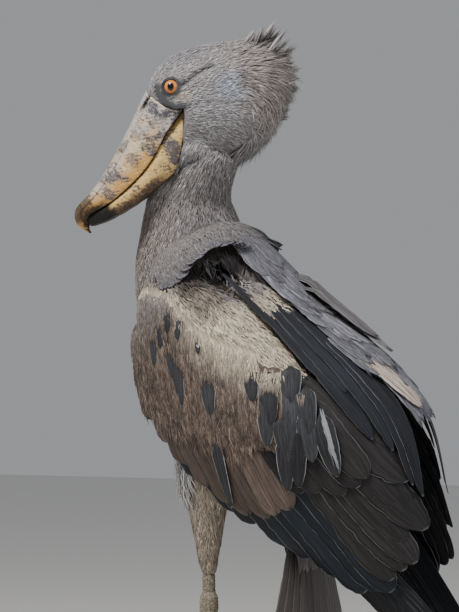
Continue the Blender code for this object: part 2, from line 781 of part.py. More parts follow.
def build_wing(name, side):
    """A wing's core, its flight feathers fanned from the rear of it, and its coverts in tiers."""
    rng = random.Random(11 if side > 0 else 23)
    place = wing_place(side)
    tops, bottoms = [], []
    for along, top, bottom, inner, outer in WING_CORE:
        upper, lower = [], []
        fade = min(1.0, (outer - inner) / 0.03)
        for j, swell in enumerate(WING_SWELL):
            height = top + (bottom - top) * j / (len(WING_SWELL) - 1)
            edge = 0.2 * (outer - inner) if j in (0, 6) else 0.0
            upper.append(place(along, height, outer + swell * fade))
            lower.append(place(along, height, inner + edge))
        tops.append(upper)
        bottoms.append(lower)
    core = sheet(name, tops, bottoms, "wing_plumage")
    vanes = []
    for tier, (columns, width, roll, dive, feathers) in WING_TIERS.items():
        shape = COVERT_SHAPE if tier.endswith("coverts") else VANE_SHAPE
        for root, tip, height in feathers:
            jitter = rng.uniform(-1, 1) * TIER_JITTER
            end = (tip[0] + jitter, tip[1] + jitter * 0.3)
            wide = width * rng.uniform(0.96, 1.04)
            vanes.append(vane(place, root, end, wide, height, columns, roll, dive, shape=shape))
    combine(core, vanes)
    return slim(combine(core, [body_cutter()], "DIFFERENCE"))


def build_mantle():
    """The back between the wings, with the cape at the foot of the neck and the scapulars."""
    tops, bottoms = [], []
    for along, half, inner, outer in MANTLE_CORE:
        upper, lower = [], []
        for j in range(9):
            at = j / 4 - 1
            edge = (outer - inner) * (0.3 if j in (0, 8) else 0.0)
            upper.append(mantle_place(along, at * half, outer - edge))
            lower.append(mantle_place(along, at * half, inner + edge * 0.4))
        tops.append(upper)
        bottoms.append(lower)
    mantle = sheet("mantle", tops, bottoms, "mantle_plumage")
    rng = random.Random(5)
    vanes = []
    for (start, end, width, height, lift), angles in SCAPULARS:
        for angle in angles:
            for side in (1, -1) if angle else (1,):
                across = side * angle * MANTLE_ARM + rng.uniform(-1, 1) * TIER_JITTER * 0.4
                root = (start, max(-MANTLE_REACH, min(MANTLE_REACH, across)))
                tip = (end + rng.uniform(-1, 1) * TIER_JITTER, across * 1.03)
                vanes.append(vane(scapular_place, root, tip, width, height, 3, 0.0, -0.009, lift, COVERT_SHAPE))
    combine(mantle, vanes)
    return slim(combine(mantle, [body_cutter()], "DIFFERENCE"))


def mantle_place(along, degrees, out):
    side = 1 if degrees >= 0 else -1
    return sleeve_point(along, math.radians(abs(degrees)), out, side)


def scapular_place(along, across, out):
    return mantle_place(along, across / MANTLE_ARM, out)


def build_tail():
    """A short root, and a fan of feathers whose middle pair lies on top."""
    root = track(BODY, TAIL_ROOT)
    base = Vector((root[0], 0.0, root[1]))
    along = Vector((math.cos(TAIL_DROP), 0.0, -math.sin(TAIL_DROP)))
    over = Vector((math.sin(TAIL_DROP), 0.0, math.cos(TAIL_DROP)))

    def place(down, across, out):
        return base + along * down + Vector((0.0, across, 0.0)) + over * (out - 1.1 * across * across)

    tops, bottoms = [], []
    for down, half, thick in ((-0.03, 0.026, 0.020), (0.0, 0.032, 0.024), (0.03, 0.044, 0.020), (0.075, 0.050, 0.008)):
        tops.append([place(down, half * (j / 3 - 1), thick / 2) for j in range(7)])
        bottoms.append([place(down, half * (j / 3 - 1), -thick / 2) for j in range(7)])
    tail = sheet("tail", tops, bottoms, "tail_plumage")
    vanes = []
    for i in range(TAIL_FEATHERS):
        at = 2.0 * i / (TAIL_FEATHERS - 1) - 1.0
        turn = at * TAIL_SPREAD
        start = (0.010, 0.75 * at * 0.044)
        length = TAIL_LENGTH * (1.0 - 0.05 * at * at) - start[0]
        end = (start[0] + length * math.cos(turn), start[1] + length * math.sin(turn))
        level = 0.0055 - 0.0018 * (abs(at) * (TAIL_FEATHERS - 1) - 1) / 2 - (0.0009 if at > 0 else 0.0)
        vanes.append(vane(place, start, end, TAIL_WIDTH, level, 2, 0.0, 0.002, shape=COVERT_SHAPE))
    combine(tail, vanes)
    return slim(combine(tail, [body_cutter()], "DIFFERENCE"))


def tube_ring(centre, along, radius_ahead, radius_side, sides=12):
    ahead = Vector((-1.0, 0.0, 0.0))
    ahead = (ahead - along * ahead.dot(along)).normalized()
    side = along.cross(ahead)
    ring = []
    for i in range(sides):
        a = 2 * math.pi * i / sides
        ring.append(centre + ahead * math.cos(a) * radius_ahead + side * math.sin(a) * radius_side)
    return ring


def build_leg(name, leg):
    hip, stifle, hock, foot = (Vector(p) for p in leg["path"])
    share_end = (hip.z - THIGH_END) / (hip.z - hock.z)
    points = [tuple(p) for p in (hip, stifle, hock)]

    def thigh_axis(share):
        height = hip.z + (hock.z - hip.z) * share
        middle = (hip.z - stifle.z) / (hip.z - hock.z)
        k = share / middle if share < middle else 1 + (share - middle) / (1 - middle)
        x, y, _ = track(points, k)
        return Vector((x, y, height))

    down = (hock - hip).normalized()
    rings = []
    for share, ahead, wide in THIGH:
        rings.append(tube_ring(thigh_axis(share * share_end), down, ahead, wide, 16))
    thigh = loft("thigh_" + name, rings, "thigh_plumage")
    combine(thigh, [body_cutter()], "DIFFERENCE")

    shin_down = (hock - thigh_axis(share_end)).normalized()
    tarsus_down = (foot - hock).normalized()
    start = thigh_axis(share_end) + down * GAP
    rings = [
        tube_ring(start, down, SHIN_RADIUS, SHIN_RADIUS * 0.9),
        tube_ring(start + (hock - start) * 0.55, shin_down, SHIN_RADIUS, SHIN_RADIUS * 0.9),
        tube_ring(hock - shin_down * 0.012, shin_down, HOCK_RADIUS * 0.95, HOCK_RADIUS * 0.85),
        tube_ring(hock + tarsus_down * 0.004, (shin_down + tarsus_down).normalized(), HOCK_RADIUS, HOCK_RADIUS * 0.9),
        tube_ring(hock + tarsus_down * 0.020, tarsus_down, HOCK_RADIUS * 0.85, HOCK_RADIUS * 0.8),
        tube_ring(hock + tarsus_down * 0.045, tarsus_down, SHIN_RADIUS * 0.95, SHIN_RADIUS * 0.8),
        tube_ring(hock + (foot - hock) * 0.6, tarsus_down, SHIN_RADIUS * 0.92, SHIN_RADIUS * 0.75),
        tube_ring(foot - tarsus_down * 0.034, tarsus_down, SHIN_RADIUS * 1.05, SHIN_RADIUS * 0.95),
        tube_ring(foot - tarsus_down * 0.020, tarsus_down, SHIN_RADIUS * 1.25, SHIN_RADIUS * 1.35),
        tube_ring(Vector((foot.x, foot.y, 0.008)), Vector((0, 0, -1)), SHIN_RADIUS * 1.35, SHIN_RADIUS * 1.5),
        tube_ring(Vector((foot.x, foot.y, 0.0)), Vector((0, 0, -1)), SHIN_RADIUS * 1.15, SHIN_RADIUS * 1.3),
    ]
    shank = loft("shank_" + name, rings, "leg_skin")
    built = [shank]
    for toe, (length, splay, radius) in TOES.items():
        built.append(build_toe(name, toe, foot, leg["ahead"].normalized(), length, splay, radius, built))


def build_toe(name, toe, foot, ahead, length, splay, radius, built):
    """One toe with its pads, flat underneath, and the claw that carries it on."""
    mirror = 1 if name == "left" else -1
    along = Matrix.Rotation(math.radians(splay) * mirror, 3, "Z") @ ahead
    side = Vector((0, 0, 1)).cross(along)
    rings = []
    steps = 7
    for i in range(steps + 1):
        share = i / steps
        pad = 1.0 + 0.10 * math.cos(share * 2 * math.pi * 3)
        thick = radius * (1.12 - 0.38 * share) * pad
        centre = foot + along * (0.004 + share * length)
        ring = []
        for j in range(8):
            a = 2 * math.pi * j / 8
            height = TOE_HEIGHT * (1 - 0.25 * share) + math.sin(a) * thick * 0.95
            ring.append(Vector((centre.x, centre.y, max(0.0, height))) + side * math.cos(a) * thick)
        rings.append(ring)
    body = loft(f"toe_{name}_{toe}", rings, "leg_skin")
    combine(body, [swollen(other) for other in built], "DIFFERENCE")
    rings = []
    start = foot + along * (0.004 + length + GAP)
    for share, thick in ((0.0, 0.62), (0.4, 0.50), (0.75, 0.26), (1.0, 0.06)):
        centre = start + along * share * CLAW_LENGTH
        height = TOE_HEIGHT * 0.80 * (1 - 0.80 * share**1.6)
        ring = []
        for j in range(6):
            a = 2 * math.pi * j / 6
            level = max(0.0, height + math.sin(a) * thick * radius)
            ring.append(Vector((centre.x, centre.y, level)) + side * math.cos(a) * thick * radius * 0.7)
        rings.append(ring)
    loft(f"claw_{name}_{toe}", rings, "claw_horn")
    return body


def stand_on_origin():
    """Moves the bird so that the middle of its footprint box is at the origin."""
    bpy.context.view_layer.update()
    points = [obj.matrix_world @ v.co for obj in bpy.data.objects if obj.type == "MESH" for v in obj.data.vertices]
    low = Vector(min(p[i] for p in points) for i in range(3))
    high = Vector(max(p[i] for p in points) for i in range(3))
    shift = Vector((-(low.x + high.x) / 2, -(low.y + high.y) / 2, -low.z))
    for obj in bpy.data.objects:
        if obj.type == "MESH":
            obj.data.transform(Matrix.Translation(shift))


def main():
    clear_scene()
    build_torso()
    build_head()
    build_eyes()
    build_bill()
    build_neck()
    build_wing("wing_left", 1)
    build_wing("wing_right", -1)
    build_mantle()
    build_tail()
    for name, leg in LEGS.items():
        build_leg(name, leg)
    stand_on_origin()


main()
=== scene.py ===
# %% [markdown]
# # A shoebill at life size
#
# The bird stands with its body side-on and its head turned to look out over its left side.
# The solids already hold every main form at its real size. This script gives them their looks:
# one skin under everything, small tufts over it, vanes for the flight feathers, and a horn bill.
# All places are written in the bird's own frame, in metres, and moved to the solids at the end.

# %% The frame
import json
import math

import bmesh
import bpy
import numpy as np
from mathutils import Matrix, Vector
from mathutils.bvhtree import BVHTree

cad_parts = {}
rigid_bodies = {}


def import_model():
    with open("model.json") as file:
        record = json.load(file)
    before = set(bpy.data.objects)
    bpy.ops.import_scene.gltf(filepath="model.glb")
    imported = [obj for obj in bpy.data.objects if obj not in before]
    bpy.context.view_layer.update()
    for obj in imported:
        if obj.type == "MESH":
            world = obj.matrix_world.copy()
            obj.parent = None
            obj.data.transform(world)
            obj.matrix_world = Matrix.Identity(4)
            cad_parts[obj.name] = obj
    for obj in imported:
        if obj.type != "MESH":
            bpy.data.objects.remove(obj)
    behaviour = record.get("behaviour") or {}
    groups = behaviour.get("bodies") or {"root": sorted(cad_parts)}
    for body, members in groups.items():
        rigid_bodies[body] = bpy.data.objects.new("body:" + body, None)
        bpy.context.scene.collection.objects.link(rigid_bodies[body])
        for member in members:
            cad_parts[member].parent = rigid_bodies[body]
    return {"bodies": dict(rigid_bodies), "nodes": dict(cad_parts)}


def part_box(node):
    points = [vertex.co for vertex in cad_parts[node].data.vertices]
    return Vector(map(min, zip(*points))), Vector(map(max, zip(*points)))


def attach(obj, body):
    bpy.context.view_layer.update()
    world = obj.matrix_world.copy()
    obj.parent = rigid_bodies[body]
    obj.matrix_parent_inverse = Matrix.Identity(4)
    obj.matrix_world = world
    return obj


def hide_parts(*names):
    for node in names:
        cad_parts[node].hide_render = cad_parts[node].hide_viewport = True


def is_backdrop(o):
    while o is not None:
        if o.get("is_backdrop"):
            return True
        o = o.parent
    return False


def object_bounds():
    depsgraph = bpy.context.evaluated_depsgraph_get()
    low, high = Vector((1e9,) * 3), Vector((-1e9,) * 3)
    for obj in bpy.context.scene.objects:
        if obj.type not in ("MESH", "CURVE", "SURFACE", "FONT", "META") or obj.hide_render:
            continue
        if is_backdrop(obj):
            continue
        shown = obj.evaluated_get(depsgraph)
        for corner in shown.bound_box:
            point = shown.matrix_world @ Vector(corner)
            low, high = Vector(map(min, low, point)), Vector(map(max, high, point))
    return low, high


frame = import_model()
cad_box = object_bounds()
BODY_NAME = next(iter(frame["bodies"]))
print("solids", len(frame["nodes"]), "body", BODY_NAME)

# %% [markdown]
# The head is turned by 28 degrees and nods by 18, so it gets three axes of its own: ahead along
# the bill, crown upwards and left out of its left cheek. The left eye's solid is measured to find
# how far the bird's own frame was moved to stand on the origin.

# %% Axes of the head, and the move to the solids
HEAD_TURN = math.radians(28)
HEAD_NOD = math.radians(18)
HEAD_CENTRE = np.array((-0.009, 0.0, 1.0545))
OUT = np.array((math.cos(HEAD_TURN), math.sin(HEAD_TURN), 0.0))
UP = np.array((0.0, 0.0, 1.0))
AHEAD = -OUT * math.cos(HEAD_NOD) - UP * math.sin(HEAD_NOD)
CROWN = -OUT * math.sin(HEAD_NOD) + UP * math.cos(HEAD_NOD)
LEFT = np.array((math.sin(HEAD_TURN), -math.cos(HEAD_TURN), 0.0))
EYE_AT = (0.0578, 0.0375, 0.0425)
EYE_RADIUS = 0.0145
SIDES = {"left": 1, "right": -1}


def head_place(forward, height, left=0.0):
    """Points from distances along the head's three axes, which may be arrays."""
    parts = [np.asarray(v, float)[..., None] for v in (forward, height, left)]
    return HEAD_CENTRE + parts[0] * AHEAD + parts[1] * CROWN + parts[2] * LEFT


def in_head(points):
    """Distances ahead, crownwards and left of the head's centre."""
    away = points - HEAD_CENTRE
    return away @ AHEAD, away @ CROWN, away @ LEFT


eye_low, eye_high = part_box("eye_left")
SHIFT = (np.array(eye_low) + np.array(eye_high)) / 2 - head_place(*EYE_AT)
print("bird moved by", np.round(SHIFT, 4))

# %% [markdown]
# A form such as a neck or a wing is written as rows of numbers along its length. Every value
# between two rows comes from one smooth curve through them all, so few rows are enough.

# %% Smooth curves through rows


def track(rows, k):
    """Smooth values at position k along rows of numbers, through each row at a whole k."""
    rows, k = np.asarray(rows, float), np.asarray(k, float)
    i = np.clip(np.floor(k).astype(int), 0, len(rows) - 2)
    t = (k - i)[..., None]
    a, b = rows[np.maximum(i - 1, 0)], rows[i]
    c, d = rows[i + 1], rows[np.minimum(i + 2, len(rows) - 1)]
    return b + 0.5 * t * (c - a + t * (2 * a - 5 * b + 4 * c - d + t * (3 * (b - c) + d - a)))


def at_key(rows, key):
    """The smooth values whose first number is key."""
    rows = np.asarray(rows, float)
    return track(rows, np.interp(key, rows[:, 0], np.arange(len(rows))))


def circle(sides):
    """The angles of evenly spaced points round a circle."""
    return np.arange(sides) * math.tau / sides


def rounded(angle, power):
    """Points on a squared-off circle of radius one."""
    c, s = np.cos(angle), np.sin(angle)
    return np.sign(c) * np.abs(c) ** (2 / power), np.sign(s) * np.abs(s) ** (2 / power)


def ease(low, high, value):
    """From 0 to 1 along a soft S as the value goes from low to high, which may be the smaller."""
    t = np.clip((value - low) / (high - low), 0.0, 1.0)
    return t * t * (3 - 2 * t)


def unit(vectors):
    return vectors / np.maximum(np.linalg.norm(vectors, axis=-1, keepdims=True), 1e-9)


# %% [markdown]
# The wings fold round the body like a sleeve. The sleeve is a chart: a place on a wing is a
# distance along the sleeve, a height over its axis and a reach outwards. Feathers are laid out on
# this flat chart, where tiers are easy to see, and the chart bends them round the bird.

# %% The forms
BODY = (
    (0.158, 0.405, 0.03, 0.022, 0.034, 0), (0.143, 0.455, 0.062, 0.04, 0.058, 0),
    (0.112, 0.52, 0.098, 0.078, 0.092, 0), (0.072, 0.58, 0.125, 0.104, 0.116, 0),
    (0.035, 0.64, 0.139, 0.116, 0.129, 0), (0.0, 0.7, 0.14, 0.118, 0.131, 0),
    (-0.03, 0.755, 0.126, 0.106, 0.121, 0), (-0.047, 0.8, 0.106, 0.093, 0.101, 3),
    (-0.052, 0.84, 0.09, 0.083, 0.082, 9), (-0.053, 0.872, 0.078, 0.076, 0.069, 15),
    (-0.05, 0.906, 0.067, 0.071, 0.062, 21), (-0.033, 0.944, 0.056, 0.077, 0.061, 26),
    (-0.01, 0.985, 0.05, 0.086, 0.057, 28),
)
HEAD = (
    (0.1, -0.026, 0.058, 0.044), (0.086, -0.014, 0.075, 0.05), (0.07, -0.005, 0.082, 0.054),
    (0.048, 0.003, 0.085, 0.059), (0.018, 0.0, 0.091, 0.065), (-0.014, -0.002, 0.092, 0.067),
    (-0.044, -0.003, 0.086, 0.062), (-0.074, 0.0, 0.07, 0.051), (-0.096, 0.004, 0.05, 0.037),
    (-0.11, 0.006, 0.028, 0.021), (-0.116, 0.007, 0.01, 0.008),
)
SLEEVE_ORIGIN = np.array((-0.09, 0.0, 0.72))
SLEEVE_DOWN = math.radians(45)
AXIS = np.array((math.cos(SLEEVE_DOWN), 0.0, -math.sin(SLEEVE_DOWN)))
RISE = np.array((math.sin(SLEEVE_DOWN), 0.0, math.cos(SLEEVE_DOWN)))
SLEEVE = (
    (-0.06, 0.06, 0.085, 0.16, 0.07), (-0.02, 0.055, 0.126, 0.2, 0.125),
    (0.03, 0.05, 0.138, 0.24, 0.15), (0.09, 0.048, 0.14, 0.25, 0.16), (0.16, 0.046, 0.145, 0.25, 0.164),
    (0.24, 0.044, 0.158, 0.24, 0.16), (0.33, 0.04, 0.172, 0.21, 0.146),
    (0.42, 0.034, 0.168, 0.16, 0.124), (0.52, 0.026, 0.118, 0.13, 0.098),
    (0.62, 0.016, 0.072, 0.1, 0.074), (0.74, 0.004, 0.03, 0.07, 0.048),
)
WING_CORE = (
    (-0.008, 0.056, 0.02, -0.036, -0.014), (0.018, 0.108, 0.002, -0.046, -0.004),
    (0.055, 0.146, -0.024, -0.046, -0.001), (0.105, 0.152, -0.044, -0.042, -0.001),
    (0.16, 0.154, -0.058, -0.036, -0.002), (0.22, 0.156, -0.06, -0.03, -0.004),
    (0.28, 0.153, -0.048, -0.024, -0.007), (0.335, 0.146, -0.03, -0.02, -0.01),
    (0.385, 0.128, 0.01, -0.017, -0.012),
)
WING_SWELL = (-0.008, 0.004, 0.007, 0.004, 0.0, -0.002, -0.01)
MANTLE_CORE = (
    (-0.04, 54, -0.034, -0.006), (-0.018, 68, -0.038, -0.001), (0.006, 71, -0.038, 0.0),
    (0.028, 48, -0.044, 0.0), (0.06, 39, -0.048, -0.001), (0.14, 36, -0.048, -0.002),
    (0.22, 34, -0.042, -0.003), (0.3, 31, -0.026, -0.005), (0.365, 26, -0.016, -0.007),
)


def sleeve_point(along, around, out, side):
    """A point of the sleeve: around is 0 at the back's midline and rises down the side."""
    _, centre, back, belly, width = np.moveaxis(at_key(SLEEVE, along), -1, 0)
    c, s = np.cos(around), np.sin(around)
    reach = np.where(c > 0, back, belly)
    lift = centre + (reach + out) * c
    wide = (width + out) * s * -side
    along, lift, wide = (np.asarray(v)[..., None] for v in (along, lift, wide))
    return SLEEVE_ORIGIN + along * AXIS + lift * RISE + wide * [0, 1, 0]


def wing_place(side):
    """The chart of a wing: distance along the sleeve, height over its axis, reach outwards."""

    def place(along, height, out):
        _, centre, back, belly, _ = np.moveaxis(at_key(SLEEVE, along), -1, 0)
        over = height - centre
        around = np.arccos(np.clip(over / np.where(over > 0, back, belly), -1, 1))
        return sleeve_point(along, around, out, side)

    return place


def mantle_place(along, degrees, out):
    """The chart of the back: degrees are positive on the left and negative on the right."""
    degrees = np.asarray(degrees, float)
    return sleeve_point(along, np.radians(np.abs(degrees)), out, np.where(degrees < 0, -1, 1))


def body_ring(k, grow, sides=40):
    x, z, front, back, width, turn = track(BODY, k)
    step = track(BODY, k + 0.05) - track(BODY, k - 0.05)
    along = Vector((step[0], 0.0, step[1])).normalized()
    side = Matrix.Rotation(math.radians(turn), 3, along) @ Vector((0.0, -1.0, 0.0))
    dorsal = np.array(side.cross(along).normalized())
    deep, wide = rounded(circle(sides), 2.15)
    deep = (deep * (np.where(deep > 0, back, front) + grow))[:, None]
    wide = (wide * (width + grow))[:, None]
    return np.array((x, 0.0, z)) + deep * dorsal + wide * np.array(side)


def head_ring(k, grow, sides=40):
    forward, centre, half, width = track(HEAD, k)
    high, wide = rounded(circle(sides), 2.25)
    half, width = max(half + grow, 0.003), max(width + grow, 0.003)
    return head_place(forward, centre + high * half, wide * width)


# %% [markdown]
# The skin could be one sculpted mesh. Here each form is lofted on its own, from circles that
# bridge_loops joins, and a voxel remesh melts them into one closed skin without a seam. Each form
# is made thinner by the depth of its own coat first, so the feathers come out at the solids' size.

# %% Lofts


def loft(bm, rings):
    """Circles set to the rings' points, bridged one after another and closed at both ends."""
    loops = []
    for ring in rings:
        verts = bmesh.ops.create_circle(bm, segments=len(ring), radius=1.0)["verts"]
        for vert, point in zip(verts, ring):
            vert.co = point
        loops.append(list({edge for vert in verts for edge in vert.link_edges}))
    for near, far in zip(loops, loops[1:]):
        bmesh.ops.bridge_loops(bm, edges=near + far)
    for loop in (loops[0], loops[-1]):
        bmesh.ops.edgeloop_fill(bm, edges=loop)


def slab(bm, tops, bottoms):
    """A closed slab between two like grids of points, lofted across its rows."""
    loft(bm, [np.concatenate((top, bottom[::-1])) for top, bottom in zip(tops, bottoms)])


def linked(name, data):
    """A new object of that data, linked to the scene."""
    obj = bpy.data.objects.new(name, data)
    bpy.context.scene.collection.objects.link(obj)
    return obj


def to_object(name, bm, smooth=True):
    bmesh.ops.recalc_face_normals(bm, faces=bm.faces)
    mesh = bpy.data.meshes.new(name)
    bm.to_mesh(mesh)
    bm.free()
    if smooth:
        mesh.shade_smooth()
    return linked(name, mesh)


def bake_modifiers(obj):
    """Replaces the object's mesh by what its modifiers make of it."""
    graph = bpy.context.evaluated_depsgraph_get()
    made = bpy.data.meshes.new_from_object(obj.evaluated_get(graph))
    old = obj.data
    obj.modifiers.clear()
    obj.data = made
    bpy.data.meshes.remove(old)
    obj.data.name = obj.name
    return obj


def melt(obj, voxel, passes):
    """Remeshes to even small faces and smooths away the steps that the voxels leave."""
    remesh = obj.modifiers.new("melt", "REMESH")
    remesh.mode = "VOXEL"
    remesh.voxel_size = voxel
    bake_modifiers(obj)
    bm = bmesh.new()
    bm.from_mesh(obj.data)
    every_way = {"use_axis_x": True, "use_axis_y": True, "use_axis_z": True}
    for _ in range(passes):
        bmesh.ops.smooth_vert(bm, verts=bm.verts, factor=0.5, **every_way)
    bm.to_mesh(obj.data)
    bm.free()
    obj.data.shade_smooth()
    return obj


def read(items, key, size, kind=float):
    """The numbers that all items hold under one key, in rows of that size."""
    values = np.empty(len(items) * size, kind)
    items.foreach_get(key, values)
    return values.reshape(-1, size)


def read_points(mesh):
    return read(mesh.vertices, "co", 3)


def read_normals(mesh):
    return read(mesh.vertices, "normal", 3)


def move_points(obj, points):
    """Sets every point of the object's mesh."""
    obj.data.vertices.foreach_set("co", points.astype(np.float32).ravel())
    obj.data.update()


def subtract(obj, cutter, operation="DIFFERENCE"):
    """Cuts the object by a Boolean with the cutter, which is then removed."""
    cut = obj.modifiers.new("cut", "BOOLEAN")
    cut.operation, cut.solver, cut.object = operation, "EXACT", cutter
    bake_modifiers(obj)
    bpy.data.objects.remove(cutter)


# %% The skin's forms
COAT_DEPTH = {
    "torso": 0.008,
    "neck": 0.0055,
    "head": 0.003,
    "thigh": 0.005,
    "wing": 0.006,
    "mantle": 0.006,
}
LEGS = {
    "left": ((0.01, -0.058, 0.555), (0.009, -0.058, 0.44), (0.012, -0.058, 0.27), (-0.004, -0.058, 0.0)),
    "right": ((0.06, 0.058, 0.555), (0.1, 0.058, 0.44), (0.136, 0.058, 0.27), (0.112, 0.058, 0.0)),
}
THIGH = (
    (0.0, 0.046, 0.052), (0.25, 0.043, 0.049), (0.5, 0.035, 0.039), (0.75, 0.025, 0.026),
    (1.0, 0.0145, 0.0145),
)
THIGH_END = 0.318
NECK_FROM = 7.0
LEAST_LEG = 0.009
WING_COLUMNS = 19
MANTLE_COLUMNS = 25


def tube_ring(centre, along, ahead_radius, side_radius, sides=24):
    along = unit(np.asarray(along, float))
    ahead = np.array((-1.0, 0.0, 0.0))
    ahead = unit(ahead - along * (ahead @ along))
    side = np.cross(along, ahead)
    a = circle(sides)[:, None]
    return centre + ahead * np.cos(a) * ahead_radius + side * np.sin(a) * side_radius


def thigh_rings(path, grow):
    hip, stifle, hock = (np.array(p) for p in path[:3])
    end = (hip[2] - THIGH_END) / (hip[2] - hock[2])
    middle = (hip[2] - stifle[2]) / (hip[2] - hock[2])
    rings = []
    for share, ahead, wide in track(THIGH, np.linspace(0, len(THIGH) - 1, 13)):
        down = share * end
        k = down / middle if down < middle else 1 + (down - middle) / (1 - middle)
        centre = track((hip, stifle, hock), k)
        centre[2] = hip[2] + (hock[2] - hip[2]) * down
        radii = (max(radius + grow, LEAST_LEG) for radius in (ahead, wide))
        rings.append(tube_ring(centre, hock - hip, *radii))
    return rings


def form(name, depth):
    """The lofted form of that name in a bmesh, thinner by the coat's depth."""
    bm = bmesh.new()
    kind, _, side = name.partition("_")
    if kind == "torso":
        loft(bm, [body_ring(k, -depth) for k in np.linspace(0, NECK_FROM, 22)])
    elif kind == "neck":
        loft(bm, [body_ring(k, -depth) for k in np.linspace(NECK_FROM - 0.6, len(BODY) - 1, 20)])
    elif kind == "head":
        loft(bm, [head_ring(k, -depth) for k in np.linspace(0, len(HEAD) - 1, 31)])
    elif kind == "thigh":
        loft(bm, thigh_rings(LEGS[side], -depth))
    elif kind == "wing":
        place = wing_place(SIDES[side])
        tops, bottoms = [], []
        j = np.linspace(0, 1, WING_COLUMNS)
        for along, top, bottom, inner, outer in track(WING_CORE, np.linspace(0, len(WING_CORE) - 1, 25)):
            height = top + (bottom - top) * j
            swell = track(np.array(WING_SWELL)[:, None], j * 6)[:, 0] * min(1.0, (outer - inner) / 0.03)
            along = np.full(WING_COLUMNS, along)
            tops.append(place(along, height, outer + swell - depth))
            bottoms.append(place(along, height, inner + np.abs(j - 0.5) ** 3 * 0.03))
        slab(bm, tops, bottoms)
    elif kind == "mantle":
        tops, bottoms = [], []
        at = np.linspace(-1, 1, MANTLE_COLUMNS)
        for along, half, inner, outer in track(MANTLE_CORE, np.linspace(0, len(MANTLE_CORE) - 1, 25)):
            along = np.full(MANTLE_COLUMNS, along)
            tops.append(mantle_place(along, at * half, outer - depth + 0.0 * at))
            bottoms.append(mantle_place(along, at * half, inner - 0.002 + 0.0 * at))
        slab(bm, tops, bottoms)
    return bm


FORMS = ("torso", "neck", "head", "thigh_left", "thigh_right", "wing_left", "wing_right", "mantle")
KINDS = [form_name.partition("_")[0] for form_name in FORMS]
SKIN_VOXEL = 0.0042
whole = bmesh.new()
trees = {}
for form_name, kind in zip(FORMS, KINDS):
    made = form(form_name, COAT_DEPTH[kind])
    trees[form_name] = BVHTree.FromBMesh(made)
    scratch = bpy.data.meshes.new(form_name)
    made.to_mesh(scratch)
    made.free()
    whole.from_mesh(scratch)
    bpy.data.meshes.remove(scratch)
skin = melt(to_object("skin", whole), SKIN_VOXEL, 4)
print("skin", len(skin.data.vertices), "points")

# %% [markdown]
# The head's skin has folds that its loft lacks: a brow over the eye, creases at the jaw and
# throat, and a bare band from the eye to the corner of the mouth. They're pushed in along lines
# measured in the head's plane. In front of the feathers' edge the skin is cut away with a Boolean,
# because the horn begins there.

# %% Lines of the head
UPPER_BILL = (
    ((0.065, 0.06), (0.028, 0.016), 0.045), ((0.0905, 0.053), (0.042, 0.002), 0.0475),
    ((0.106, 0.039), (0.054, -0.012), 0.049), ((0.138, 0.004), (0.082, -0.036), 0.0505),
    ((0.175, -0.033), (0.119, -0.067), 0.05), ((0.209, -0.063), (0.166, -0.095), 0.045),
    ((0.234, -0.08), (0.206, -0.11), 0.0365), ((0.253, -0.09), (0.232, -0.114), 0.027),
    ((0.263, -0.1), (0.24, -0.12), 0.018), ((0.2655, -0.114), (0.2455, -0.1235), 0.0105),
    ((0.262, -0.1235), (0.2475, -0.1275), 0.006), ((0.2555, -0.132), (0.2485, -0.1325), 0.0034),
    ((0.2487, -0.1384), (0.247, -0.1374), 0.001),
)
LOWER_BILL = (
    ((0.036, 0.016), (0.088, -0.084), 0.0475), ((0.06, -0.001), (0.096, -0.09), 0.049),
    ((0.094, -0.022), (0.113, -0.097), 0.05), ((0.13, -0.056), (0.14, -0.108), 0.0496),
    ((0.168, -0.082), (0.17, -0.118), 0.0475), ((0.2, -0.096), (0.2, -0.125), 0.041),
    ((0.224, -0.101), (0.225, -0.1285), 0.0312), ((0.243, -0.104), (0.2445, -0.1275), 0.0182),
    ((0.2535, -0.11), (0.2535, -0.12), 0.0072),
)
MOUTH = (
    (0.03, 0.022), (0.051, 0.0), (0.086, -0.026), (0.1215, -0.06), (0.143, -0.0755), (0.169, -0.089),
    (0.198, -0.1013), (0.221, -0.1072), (0.24, -0.1105), (0.2465, -0.116), (0.2465, -0.125),
    (0.24, -0.145),
)
FACE_EDGE = (
    (0.102, 0.08), (0.0985, 0.053), (0.0955, 0.037), (0.0864, 0.0233), (0.0766, 0.012), (0.064, 0.002),
    (0.0511, 0.0), (0.0533, -0.0122), (0.0625, -0.0334), (0.0727, -0.0602), (0.088, -0.0823),
    (0.0961, -0.0906), (0.098, -0.12),
)
GAPE = 6
FAR = 0.4


def shifted(line, by):
    """The line moved sideways by that much, to its left seen along it."""
    line = np.array(line)
    step = np.gradient(line, axis=0)
    step = step / np.linalg.norm(step, axis=1, keepdims=True)
    return (line + np.column_stack((-step[:, 1], step[:, 0])) * by).tolist()


def prism(name, outline, half_width=0.12):
    """A block whose side view in the plane of the head is the outline."""
    bm = bmesh.new()
    flat = np.array(outline)
    near = [bm.verts.new(point) for point in head_place(*flat.T, np.full(len(flat), half_width))]
    grown = bmesh.ops.extrude_face_region(bm, geom=[bm.faces.new(near)])
    moved = [item for item in grown["geom"] if isinstance(item, bmesh.types.BMVert)]
    bmesh.ops.translate(bm, verts=moved, vec=Vector(LEFT * -2 * half_width))
    return to_object(name, bm, smooth=False)


def line_distance(f, g, line):
    """Distance in the head's plane from each point to a line of many short pieces."""
    line = track(line, np.linspace(0, len(line) - 1, 160))
    best = np.full(len(f), 9.0)
    for a, b in line:
        best = np.minimum(best, (f - a) ** 2 + (g - b) ** 2)
    return np.sqrt(best)


def beside(f, g, line, width):
    """One on a line in the head's plane, falling off to each side over that width."""
    return np.exp(-((line_distance(f, g, line) / width) ** 2))


